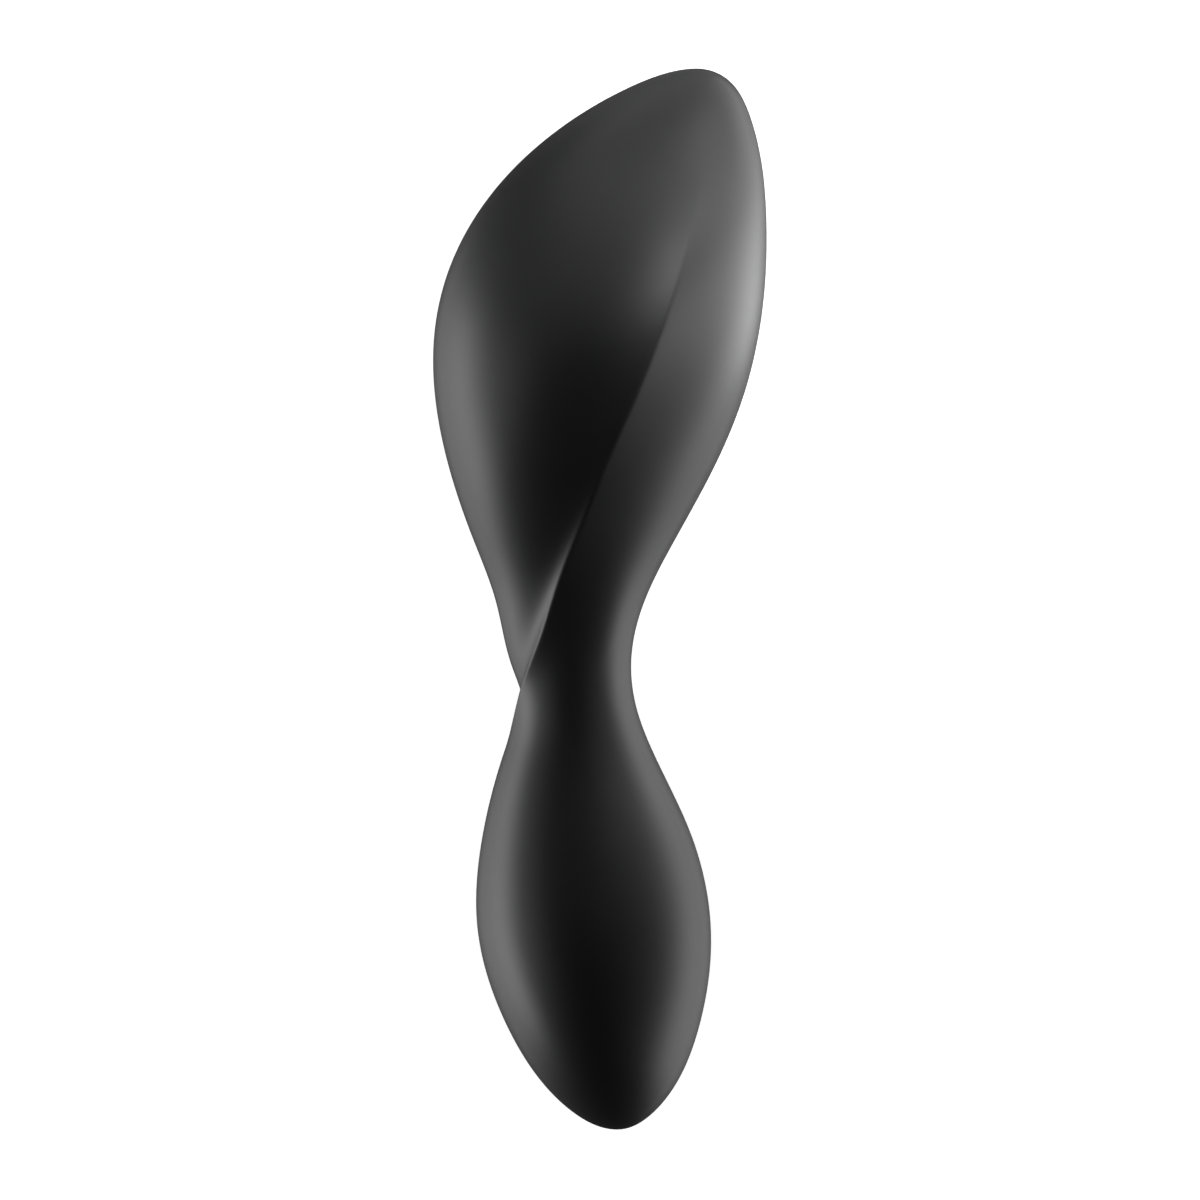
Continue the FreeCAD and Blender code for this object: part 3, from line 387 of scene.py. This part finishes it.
def shell_from(sheet, depth, edges, hidden_inside=False):
    """A closed shell: the sheet, its rounded borders, walls that run square to the panel, and an
    inner face."""
    top = body_point(sheet.s, sheet.beyond)
    normal = outward(sheet.s, sheet.beyond)
    above = body_point(sheet.s, sheet.beyond, hidden_inside)
    under = above - turned_to_panel(outward(sheet.s, sheet.beyond, hidden_inside), above) * depth
    for index in np.where((sheet.s <= 0) | (sheet.s >= 1))[0]:
        end = body_point(sheet.s[index], sheet.beyond[index], hidden_inside)
        under[index] = end - np.array((0, math.copysign(depth, end[1]), 0))
    points = [top]
    faces = [list(face) for face in sheet.faces]
    total = len(top)
    lips = []
    for loop in border_loops(sheet.faces):
        index = np.array(loop)
        place = to_panel(top[index])
        edge = min(edges, key=lambda choice: abs(np.mean(choice.distance_to(place)[0]) - choice.level))
        away = edge.distance_to(place)[1] * (-1 if edge.solid_outside else 1)
        side = away[:, :1] * PANEL_ALONG + away[:, 1:] * PANEL_UP
        n = normal[index]
        slope = np.sum(side * n, axis=1, keepdims=True) / np.sum(PANEL_OUT * n, axis=1, keepdims=True)
        side = side - PANEL_OUT * slope
        previous = index
        for out, down in lip_rings(edge, depth):
            points.append(top[index] + side * out - PANEL_OUT * down)
            new = np.arange(total, total + len(index))
            total += len(index)
            faces.extend(bridge(previous, new))
            previous = new
        under[index] = top[index] + side * edge.lip - PANEL_OUT * depth
        lips.append((previous, index))
    points.append(under)
    for face in sheet.faces:
        faces.append([total + v for v in reversed(face)])
    for previous, index in lips:
        faces.extend(bridge(previous, total + index))
    return pack_points(np.vstack(points), faces)


def pack_points(points, faces):
    """Drop the points that no face uses."""
    used = sorted({v for face in faces for v in face})
    place = {v: i for i, v in enumerate(used)}
    return points[used], [[place[v] for v in face] for face in faces]


def bridge(first, second):
    """Faces between two closed loops of the same length, on the first loop's outer side."""
    faces = []
    count = len(first)
    for i in range(count):
        j = (i + 1) % count
        faces.append([int(first[j]), int(first[i]), int(second[i]), int(second[j])])
    return faces


def lathe(place_at, profile, segments=72):
    """A closed turned shape. place_at(radius, angle, height) gives points; the profile's first and
    last entries lie on the axis."""
    angles = np.arange(segments) * TURN / segments
    points = [place_at(0.0, np.zeros(1), profile[0][1])]
    faces = []
    for radius, height in profile[1:-1]:
        points.append(place_at(radius, angles, height))
    points.append(place_at(0.0, np.zeros(1), profile[-1][1]))
    starts = [1 + ring * segments for ring in range(len(profile) - 2)]
    last = starts[-1] + segments
    for i in range(segments):
        j = (i + 1) % segments
        faces.append([0, 1 + i, 1 + j])
        for a, b in zip(starts, starts[1:]):
            faces.append([a + i, b + i, b + j, a + j])
        faces.append([last, starts[-1] + j, starts[-1] + i])
    return np.vstack(points), faces


# ---------------------------------------------------------------- materials

def new_material(name):
    material = bpy.data.materials.new(name)
    material.use_nodes = True
    nodes = material.node_tree.nodes
    links = material.node_tree.links
    shader = nodes["Principled BSDF"]
    return material, nodes, links, shader


def object_noise(nodes, links, scale, detail=3.0, roughness=0.55):
    place = nodes.new("ShaderNodeTexCoord")
    noise = nodes.new("ShaderNodeTexNoise")
    noise.inputs["Scale"].default_value = scale
    noise.inputs["Detail"].default_value = detail
    noise.inputs["Roughness"].default_value = roughness
    links.new(place.outputs["Object"], noise.inputs["Vector"])
    return noise


def ramp(nodes, links, source, low, high, start=0.35, end=0.65):
    """Spread a value, a noise's or the floor's ambient occlusion for its painted shadow, between two colours."""
    item = nodes.new("ShaderNodeValToRGB")
    item.color_ramp.elements[0].position = start
    item.color_ramp.elements[1].position = end
    item.color_ramp.elements[0].color = (*low, 1)
    item.color_ramp.elements[1].color = (*high, 1)
    links.new(source, item.inputs["Fac"])
    return item.outputs["Color"]


def spread(nodes, links, source, low, high):
    item = nodes.new("ShaderNodeMapRange")
    item.inputs["To Min"].default_value = low
    item.inputs["To Max"].default_value = high
    links.new(source, item.inputs["Value"])
    return item.outputs["Result"]


def bump(nodes, links, source, shader, strength, distance):
    item = nodes.new("ShaderNodeBump")
    item.inputs["Strength"].default_value = strength
    item.inputs["Distance"].default_value = distance
    links.new(source, item.inputs["Height"])
    links.new(item.outputs["Normal"], shader.inputs["Normal"])


def grained(name, dark, light, rough, grain, depth, metallic=0.0, specular=0.5, strength=0.35):
    """A finish with colour variation, roughness variation and fine relief at one grain size."""
    material, nodes, links, shader = new_material(name)
    cloud = object_noise(nodes, links, 0.12 / grain, 2.0)
    fine = object_noise(nodes, links, 1.0 / grain, 4.0)
    links.new(ramp(nodes, links, cloud.outputs["Fac"], dark, light), shader.inputs["Base Color"])
    links.new(spread(nodes, links, fine.outputs["Fac"], *rough), shader.inputs["Roughness"])
    bump(nodes, links, fine.outputs["Fac"], shader, strength, depth)
    shader.inputs["Metallic"].default_value = metallic
    shader.inputs["Specular IOR Level"].default_value = specular
    return material


def silicone():
    """Near-black soft-touch silicone with a broad satin sheen, a faint bloom and a micro grain."""
    material, nodes, links, shader = new_material("soft_black_silicone")
    bloom = object_noise(nodes, links, 35.0, 3.0)
    fine = object_noise(nodes, links, 5200.0, 2.0, 0.6)
    colour = ramp(nodes, links, bloom.outputs["Fac"], (0.0075, 0.0075, 0.008), (0.0105, 0.0105, 0.011))
    links.new(colour, shader.inputs["Base Color"])
    links.new(spread(nodes, links, bloom.outputs["Fac"], 0.43, 0.49), shader.inputs["Roughness"])
    bump(nodes, links, fine.outputs["Fac"], shader, 0.12, 0.00004)
    shader.inputs["Specular IOR Level"].default_value = 0.5
    return material


def brushed(name, colour, scale, rough=(0.25, 0.4)):
    """Drawn or ground metal, with fine lines round the part."""
    material, nodes, links, shader = new_material(name)
    place = nodes.new("ShaderNodeTexCoord")
    stretch = nodes.new("ShaderNodeMapping")
    stretch.inputs["Scale"].default_value = scale
    noise = nodes.new("ShaderNodeTexNoise")
    noise.inputs["Scale"].default_value = 1.0
    noise.inputs["Detail"].default_value = 4.0
    links.new(place.outputs["Object"], stretch.inputs["Vector"])
    links.new(stretch.outputs["Vector"], noise.inputs["Vector"])
    low = tuple(c * 0.82 for c in colour)
    links.new(ramp(nodes, links, noise.outputs["Fac"], low, colour), shader.inputs["Base Color"])
    links.new(spread(nodes, links, noise.outputs["Fac"], *rough), shader.inputs["Roughness"])
    bump(nodes, links, noise.outputs["Fac"], shader, 0.2, 0.00002)
    shader.inputs["Metallic"].default_value = 1.0
    return material


def board_finish():
    """Green solder mask over a faint pattern of tracks."""
    material, nodes, links, shader = new_material("board_mask")
    place = nodes.new("ShaderNodeTexCoord")
    tracks = nodes.new("ShaderNodeTexBrick")
    tracks.inputs["Scale"].default_value = 420.0
    tracks.inputs["Mortar Size"].default_value = 0.03
    tracks.inputs["Color1"].default_value = (0.012, 0.11, 0.045, 1)
    tracks.inputs["Color2"].default_value = (0.014, 0.13, 0.05, 1)
    tracks.inputs["Mortar"].default_value = (0.03, 0.2, 0.08, 1)
    links.new(place.outputs["Object"], tracks.inputs["Vector"])
    links.new(tracks.outputs["Color"], shader.inputs["Base Color"])
    links.new(spread(nodes, links, tracks.outputs["Fac"], 0.3, 0.45), shader.inputs["Roughness"])
    bump(nodes, links, tracks.outputs["Fac"], shader, 0.3, 0.00003)
    return material


def wound_copper():
    """Enamelled wire laid in close turns."""
    material, nodes, links, shader = new_material("wound_copper")
    place = nodes.new("ShaderNodeTexCoord")
    turns = nodes.new("ShaderNodeTexWave")
    turns.bands_direction = "Y"
    turns.inputs["Scale"].default_value = 900.0
    turns.inputs["Distortion"].default_value = 1.5
    links.new(place.outputs["Object"], turns.inputs["Vector"])
    colour = ramp(nodes, links, turns.outputs["Fac"], (0.32, 0.09, 0.03), (0.78, 0.33, 0.13), 0.1, 0.8)
    links.new(colour, shader.inputs["Base Color"])
    links.new(spread(nodes, links, turns.outputs["Fac"], 0.45, 0.22), shader.inputs["Roughness"])
    bump(nodes, links, turns.outputs["Fac"], shader, 0.6, 0.0001)
    shader.inputs["Metallic"].default_value = 0.9
    return material


def grey(value):
    return (value, value, value * 1.02)


MATERIALS = {
    "skin_silicone": silicone(),
    "core_plastic": grained("moulded_core", grey(0.42), grey(0.5), (0.42, 0.55), 0.0006, 0.00004),
    "panel_gloss": grained("polished_panel", grey(0.004), grey(0.006), (0.07, 0.11), 0.004, 0.00001,
                           strength=0.05),
    "gasket_foam": grained("foam_gasket", grey(0.02), grey(0.04), (0.8, 0.95), 0.0003, 0.0001),
    "button_gloss": grained("satin_button", grey(0.011), grey(0.015), (0.3, 0.36), 0.0004, 0.00001,
                            strength=0.15),
    "seal_rubber": grained("red_rubber", (0.2, 0.03, 0.02), (0.28, 0.05, 0.03), (0.5, 0.65),
                           0.0005, 0.00003),
    "contact_gold": brushed("gold_plate", (0.86, 0.58, 0.2), (700, 700, 4000), (0.16, 0.28)),
    "clear_plastic": grained("light_pipe", grey(0.55), grey(0.62), (0.18, 0.26), 0.0008, 0.00002),
    "led_white": grained("led_body", grey(0.7), grey(0.8), (0.4, 0.5), 0.0006, 0.00002),
    "board_green": board_finish(),
    "chip_black": grained("epoxy_black", grey(0.015), grey(0.03), (0.45, 0.6), 0.0003, 0.00003),
    "ceramic_tan": grained("ceramic", (0.4, 0.27, 0.15), (0.5, 0.36, 0.22), (0.4, 0.5), 0.0003, 0.00002),
    "switch_steel": brushed("pressed_steel", (0.62, 0.62, 0.63), (5000, 400, 400)),
    "plunger_black": grained("moulded_black", grey(0.02), grey(0.03), (0.4, 0.5), 0.0004, 0.00002),
    "cell_wrap": grained("shrink_sleeve", (0.01, 0.06, 0.22), (0.02, 0.09, 0.3), (0.2, 0.3), 0.003, 0.00008),
    "foam_grey": grained("open_foam", grey(0.12), grey(0.2), (0.85, 1.0), 0.0005, 0.0002, strength=0.8),
    "wire_red": grained("red_insulation", (0.4, 0.01, 0.01), (0.5, 0.02, 0.02), (0.35, 0.45),
                        0.0008, 0.00003),
    "wire_black": grained("black_insulation", grey(0.012), grey(0.02), (0.35, 0.45), 0.0008, 0.00003),
    "screw_steel": brushed("zinc_plate", (0.6, 0.61, 0.63), (900, 900, 3000)),
    "can_steel": brushed("drawn_steel", (0.66, 0.66, 0.67), (300, 5000, 300)),
    "magnet_ferrite": grained("ferrite", grey(0.05), grey(0.09), (0.6, 0.75), 0.0004, 0.00006, 0.3),
    "bush_bronze": grained("sintered_bronze", (0.42, 0.24, 0.1), (0.52, 0.32, 0.14), (0.4, 0.55),
                           0.0003, 0.00004, 1.0),
    "brush_carbon": grained("carbon", grey(0.02), grey(0.05), (0.5, 0.7), 0.0003, 0.00005),
    "mount_rubber": grained("black_rubber", grey(0.02), grey(0.03), (0.6, 0.75), 0.0006, 0.00005),
    "shaft_steel": brushed("ground_steel", (0.72, 0.72, 0.73), (400, 6000, 400), (0.12, 0.22)),
    "winding_copper": wound_copper(),
    "weight_steel": grained("sintered_steel", grey(0.35), grey(0.45), (0.35, 0.5), 0.0004, 0.00005, 1.0),
}
PRINT = grained("printed_mark", grey(0.28), grey(0.34), (0.4, 0.5), 0.0004, 0.00001)


def finish_with(item, slot, body):
    item.data.materials.clear()
    item.data.materials.append(MATERIALS[slot])
    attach(item, body)
    return item


# ---------------------------------------------------------------- the skin and the panel

def body_grid():
    """Rows of points round the body, closest together beside the ridge, with a point at each tip."""
    u = np.linspace(-1, 1, ROUND_COUNT + 1)[:-1]
    turns = math.pi * np.sinh(RIDGE_CROWDING * u) / math.sinh(RIDGE_CROWDING)
    stations = np.linspace(0, 1, ALONG_COUNT + 1)[1:-1]
    s, beyond = np.meshgrid(stations, turns, indexing="ij")
    s = np.concatenate((s.ravel(), (0.0, 1.0)))
    beyond = np.concatenate((beyond.ravel(), (0.0, 0.0)))
    rows = len(stations)
    faces = []
    for row in range(rows - 1):
        for i in range(ROUND_COUNT):
            j = (i + 1) % ROUND_COUNT
            a = row * ROUND_COUNT
            b = a + ROUND_COUNT
            faces.append([a + j, a + i, b + i, b + j])
    low_tip = rows * ROUND_COUNT
    last = (rows - 1) * ROUND_COUNT
    for i in range(ROUND_COUNT):
        j = (i + 1) % ROUND_COUNT
        faces.append([low_tip, i, j])
        faces.append([low_tip + 1, last + j, last + i])
    return Sheet(s, beyond, faces)


def panel_slot(place):
    return slot_distance(place, PANEL_STRAIGHT, PANEL_ROUND)


def silicone_skin():
    sheet = body_grid()
    opening = Edge(panel_slot, SKIN_LIP, True, PARTING + SKIN_LIP)
    sheet.trim(panel_slot, opening.level)
    points, faces = shell_from(sheet, SKIN_THICKNESS, [opening], hidden_inside=True)
    item = add_object("soft_skin", points, faces)
    finish_with(item, "skin_silicone", "massager_body")
    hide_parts("silicone_skin")
    return item


def hole(centre, radius):
    """The rounded border of a round hole in the panel."""
    return Edge(lambda place: circle_distance(place, centre, radius), HOLE_LIP, True, HOLE_LIP)


def control_panel():
    """The flush panel with its rounded rim and its holes for buttons, light and contacts."""
    reach_along = PANEL_STRAIGHT + PANEL_ROUND + PANEL_CELL
    reach_up = PANEL_ROUND + PANEL_CELL
    columns = int(2 * reach_along / PANEL_CELL)
    rows = int(2 * reach_up / PANEL_CELL)
    along, up = np.meshgrid(
        np.linspace(-reach_along, reach_along, columns),
        np.linspace(-reach_up, reach_up, rows), indexing="ij")
    s, beyond = surface_under(along.ravel(), up.ravel())
    faces = []
    for i in range(columns - 1):
        for j in range(rows - 1):
            a = i * rows + j
            faces.append([a, a + rows, a + rows + 1, a + 1])
    sheet = Sheet(s, beyond, faces)
    rim = Edge(panel_slot, PANEL_LIP, False, -(PARTING + PANEL_LIP))
    sheet.trim(rim.distance_to, rim.level, keep_outside=False)
    holes = [hole(POWER_AT, BUTTON_HOLE), hole(MODE_AT, BUTTON_HOLE), hole(LIGHT_AT, LIGHT_HOLE)]
    holes += [hole(along, CONTACT_HOLE) for along in CONTACTS_AT]
    for edge in holes:
        sheet.trim(edge.distance_to, edge.level)
    points, faces = shell_from(sheet, PANEL_THICKNESS, [rim] + holes)
    item = add_object("control_panel", points, faces)
    finish_with(item, "panel_gloss", "massager_body")
    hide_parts("control_panel_bezel")
    return item


def around(centre):
    """Points round a place on the panel, at a height over the surface."""
    def at(radius, angles, height):
        along = centre + radius * np.cos(angles)
        up = radius * np.sin(angles)
        return on_surface(along, up, np.full_like(along, height))
    return at


def straight_down(centre):
    """Points round a place on the panel, at a height over the panel's own plane."""
    def at(radius, angles, height):
        along = centre + radius * np.cos(angles)
        up = radius * np.sin(angles)
        return from_panel(along, up, np.full_like(along, height))
    return at


def button_face(radius):
    """Height of a button's gently dished face at a radius."""
    share = min(radius / (BUTTON_RADIUS - BUTTON_EDGE), 1.0)
    return BUTTON_PROUD - BUTTON_DISH * (1 - share ** 2) ** 2


def button(name, centre, body, node):
    """A dished round button with a soft rolled edge, on its stem."""
    flat = BUTTON_RADIUS - BUTTON_EDGE
    cap = [(0.0, button_face(0.0))]
    for radius in flat * np.linspace(0.08, 1.0, 14):
        cap.append((radius, button_face(radius)))
    for turn in np.radians((15, 30, 45, 60, 75, 90)):
        cap.append((flat + BUTTON_EDGE * math.sin(turn), BUTTON_PROUD - BUTTON_EDGE * (1 - math.cos(turn))))
    cap.append((BUTTON_RADIUS, BUTTON_SKIRT + SKIRT_EDGE))
    cap.append((BUTTON_RADIUS - SKIRT_EDGE, BUTTON_SKIRT))
    cap.append((STEM_RADIUS, BUTTON_SKIRT))
    stem = [
        (STEM_RADIUS, STEM_FOOT + SKIRT_EDGE), (STEM_RADIUS - SKIRT_EDGE, STEM_FOOT), (0.0, STEM_FOOT),
    ]
    on_face = around(centre)
    on_stem = straight_down(centre)

    def place_at(radius, angles, height):
        placer = on_stem if height < BUTTON_SKIRT else on_face
        return placer(radius, angles, height)

    points, faces = lathe(place_at, cap + stem)
    item = add_object(name, points, faces, 50)
    finish_with(item, "button_gloss", body)
    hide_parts(node)
    return item


# A mark's section: shares of its width across it, and heights over the button's face.
MARK_SECTION = ((-0.5, -0.04), (-0.5, 0.01), (-0.36, 0.028), (0.36, 0.028), (0.5, 0.01), (0.5, -0.04))


def stroke(name, centre, path, body):
    """A thin raised line on a button's face, along a path of places."""
    run = np.gradient(path, axis=0)
    run = run / np.linalg.norm(run, axis=1, keepdims=True)
    side = np.column_stack((-run[:, 1], run[:, 0]))
    points = []
    for across, over in MARK_SECTION:
        place = path + side * MARK_WIDTH * across
        radii = np.linalg.norm(place, axis=1)
        level = np.array([button_face(r) for r in radii]) + over
        points.append(on_surface(centre + place[:, 0], place[:, 1], level))
    count = len(path)
    starts = [line * count for line in range(len(MARK_SECTION))]
    faces = []
    for a, b in zip(starts, starts[1:] + starts[:1]):
        for i in range(count - 1):
            faces.append([a + i, a + i + 1, b + i + 1, b + i])
    faces.append(starts)
    faces.append([start + count - 1 for start in reversed(starts)])
    item = add_object(name, np.vstack(points), faces, 40)
    item.data.materials.append(PRINT)
    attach(item, body)
    return item


def button_marks():
    """Generic marks: a broken ring with a bar for power, and a wave for the vibration mode."""
    turns = np.radians(np.linspace(125, 415, 40))
    ring_radius = 1.25
    ring = np.column_stack((np.cos(turns), np.sin(turns))) * ring_radius
    stroke("power_mark_ring", POWER_AT, ring, "power_button")
    bar = np.column_stack((np.zeros(10), np.linspace(0.35, 1.75, 10)))
    stroke("power_mark_bar", POWER_AT, bar, "power_button")
    half_length = 1.7
    run = np.linspace(-half_length, half_length, 48)
    wave = np.column_stack((run, 0.6 * np.sin(run / half_length * 1.5 * math.pi)))
    stroke("mode_mark_wave", MODE_AT, wave, "mode_button")


def charging_contacts():
    """Two gold contacts with a softened edge and a shallow dish, each with its slim foot."""
    top = CONTACT_PROUD
    profile = [
        (0.0, top - 0.1), (0.5, top - 0.09), (0.85, top - 0.03), (1.0, top), (1.13, top - 0.01),
        (1.21, top - 0.05), (CONTACT_RADIUS, top - 0.13), (CONTACT_RADIUS, CONTACT_SHOULDER + PEG_EDGE),
        (CONTACT_RADIUS - PEG_EDGE, CONTACT_SHOULDER), (CONTACT_FOOT_RADIUS, CONTACT_SHOULDER),
        (CONTACT_FOOT_RADIUS, BOARD_TOP), (0.0, BOARD_TOP),
    ]
    for number, along in enumerate(CONTACTS_AT):
        points, faces = lathe(straight_down(along), profile, 48)
        item = add_object("charging_contact_%d" % (number + 1), points, faces, 50)
        finish_with(item, "contact_gold", "massager_body")
        if number == 0:
            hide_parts("charging_contacts")


def status_light():
    """The frosted end of the light pipe, just proud of the panel."""
    over = to_panel(on_surface(np.array([LIGHT_AT]), np.zeros(1), np.zeros(1)))[0, 2]
    profile = [
        (0.0, over + 0.1), (0.35, over + 0.09), (0.6, over + 0.05), (0.74, over - 0.01),
        (LIGHT_RADIUS, over - 0.1), (LIGHT_RADIUS, LED_TOP + PEG_EDGE),
        (LIGHT_RADIUS - PEG_EDGE, LED_TOP), (0.0, LED_TOP),
    ]
    points, faces = lathe(straight_down(LIGHT_AT), profile, 40)
    item = add_object("light_pipe", points, faces, 60)
    finish_with(item, "clear_plastic", "massager_body")
    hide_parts("led_light_pipe")


def inner_parts():
    """Every part carried over from the CAD model keeps its shape and gets its own finish."""
    slots = {part["node"]: part["material_slot"] for part in frame["record"]["subparts"]}
    for name, item in frame["nodes"].items():
        item.data.materials.clear()
        item.data.materials.append(MATERIALS[slots[name]])


inner_parts()
silicone_skin()
control_panel()
button("power_button_cap", POWER_AT, "power_button", "power_button")
button("mode_button_cap", MODE_AT, "mode_button", "mode_button")
button_marks()
charging_contacts()
status_light()


# ---------------------------------------------------------------- floor, light and camera

FLOOR_HALF = 4.0
PAINTED_SHADOW_REACH = 0.015            # painted contact shadow: the floor's glow is darkened where something covers it from this near
PAINTED_SHADOW_SAMPLES = 4


def stage_floor():
    """A plain pale floor that glows evenly, with a painted contact shadow from ambient occlusion right under the
    massager where it rests.
    """
    half = FLOOR_HALF
    mesh = bpy.data.meshes.new("floor")
    corners = [(-half, -half, 0), (half, -half, 0), (half, half, 0), (-half, half, 0)]
    mesh.from_pydata(corners, [], [(0, 1, 2, 3)])
    floor = bpy.data.objects.new("floor", mesh)
    bpy.context.scene.collection.objects.link(floor)
    material, nodes, links, shader = new_material("pale_floor_painted_shadow")
    shader.inputs["Base Color"].default_value = (0.8, 0.8, 0.8, 1)
    shader.inputs["Roughness"].default_value = 0.9
    shader.inputs["Specular IOR Level"].default_value = 0.0
    shader.inputs["Emission Strength"].default_value = 1.0
    # painted contact shadow: ambient occlusion turns the floor's glow colour grey right under the massager
    painted_shadow_ao = nodes.new("ShaderNodeAmbientOcclusion")
    painted_shadow_ao.samples = PAINTED_SHADOW_SAMPLES
    painted_shadow_ao.inputs["Distance"].default_value = PAINTED_SHADOW_REACH
    painted_contact_shadow = ramp(nodes, links, painted_shadow_ao.outputs["AO"], grey(0.25), (1, 1, 1), start=0.05, end=0.6)
    links.new(painted_contact_shadow, shader.inputs["Emission Color"])
    mesh.materials.append(material)
    floor.visible_glossy = False
    floor.visible_diffuse = False
    floor.visible_shadow = False


# Soft boxes that face the middle of the massager: name, place in metres, width, height and power
# in watts. None stands towards the lobe's tip or overhead, so the crowns stay nearly black.
SOFT_BOXES = (
    ("left_level", (-0.70, -0.08, -0.05), 0.85, 0.40, 4.9),
    ("left_low", (-0.65, -0.05, -0.50), 0.9, 0.50, 1.85),
    ("left_high", (-0.65, 0.00, 0.45), 0.6, 0.40, 0.5),
    ("right_level", (0.70, -0.05, -0.05), 1.2, 0.40, 5.2),
    ("right_low", (0.65, -0.05, -0.50), 1.2, 0.50, 2.8),
    ("upper_right", (0.55, 0.60, -0.05), 0.5, 0.60, 3.0),
    ("top_level", (0.00, 0.80, 0.00), 0.8, 0.50, 1.2),
    ("top_low", (0.00, 0.75, -0.50), 0.8, 0.50, 0.7),
    ("top_high", (0.00, 0.60, 0.50), 0.8, 0.36, 0.4),
    ("near_top", (0.00, 0.35, 0.12), 0.3, 0.20, 0.12),
)
# Two small boxes close to the right of the head, with narrow beams that miss the lobe: name, place,
# what it faces, width, height, power and the width of its beam in degrees.
HEAD_BOXES = (
    ("beside_head", (0.16, 0.065, -0.05), (0.0, 0.10, 0.02), 0.09, 0.20, 0.06, 50),
    ("over_head", (0.12, 0.15, 0.16), (0.01, 0.075, 0.03), 0.10, 0.08, 0.019, 45),
)
WORLD_LIGHT = 0.03


def soft_box(name, place, target, width, height, power, beam=180):
    """A rectangular lamp that is not itself seen."""
    lamp = bpy.data.lights.new(name, "AREA")
    lamp.shape = "RECTANGLE"
    lamp.size = width
    lamp.size_y = height
    lamp.energy = power
    lamp.spread = math.radians(beam)
    item = bpy.data.objects.new(name, lamp)
    item.location = place
    item.rotation_euler = (Vector(target) - Vector(place)).to_track_quat("-Z", "Y").to_euler()
    item.visible_camera = False
    bpy.context.scene.collection.objects.link(item)


def studio():
    for name, place, width, height, power in SOFT_BOXES:
        soft_box(name, place, MIDDLE, width, height, power)
    for box in HEAD_BOXES:
        soft_box(*box)
    world = bpy.data.worlds.new("studio")
    world.use_nodes = True
    background = world.node_tree.nodes["Background"]
    background.inputs["Color"].default_value = (1, 1, 1, 1)
    background.inputs["Strength"].default_value = WORLD_LIGHT
    bpy.context.scene.world = world


LENS = 200.0
SENSOR = 36.0
PICTURE_WIDTH = 0.18644        # width of what the picture takes in, at half the lobe's height
PICTURE_HEIGHT = 0.0185


def camera():
    """Straight above the massager, with a long lens."""
    data = bpy.data.cameras.new("camera")
    data.lens = LENS
    data.sensor_width = SENSOR
    item = bpy.data.objects.new("camera", data)
    item.location = (MIDDLE.x, MIDDLE.y, PICTURE_HEIGHT + PICTURE_WIDTH * LENS / SENSOR)
    bpy.context.scene.collection.objects.link(item)
    bpy.context.scene.camera = item


stage_floor()
studio()
camera()
bpy.context.scene.view_settings.view_transform = "Standard"
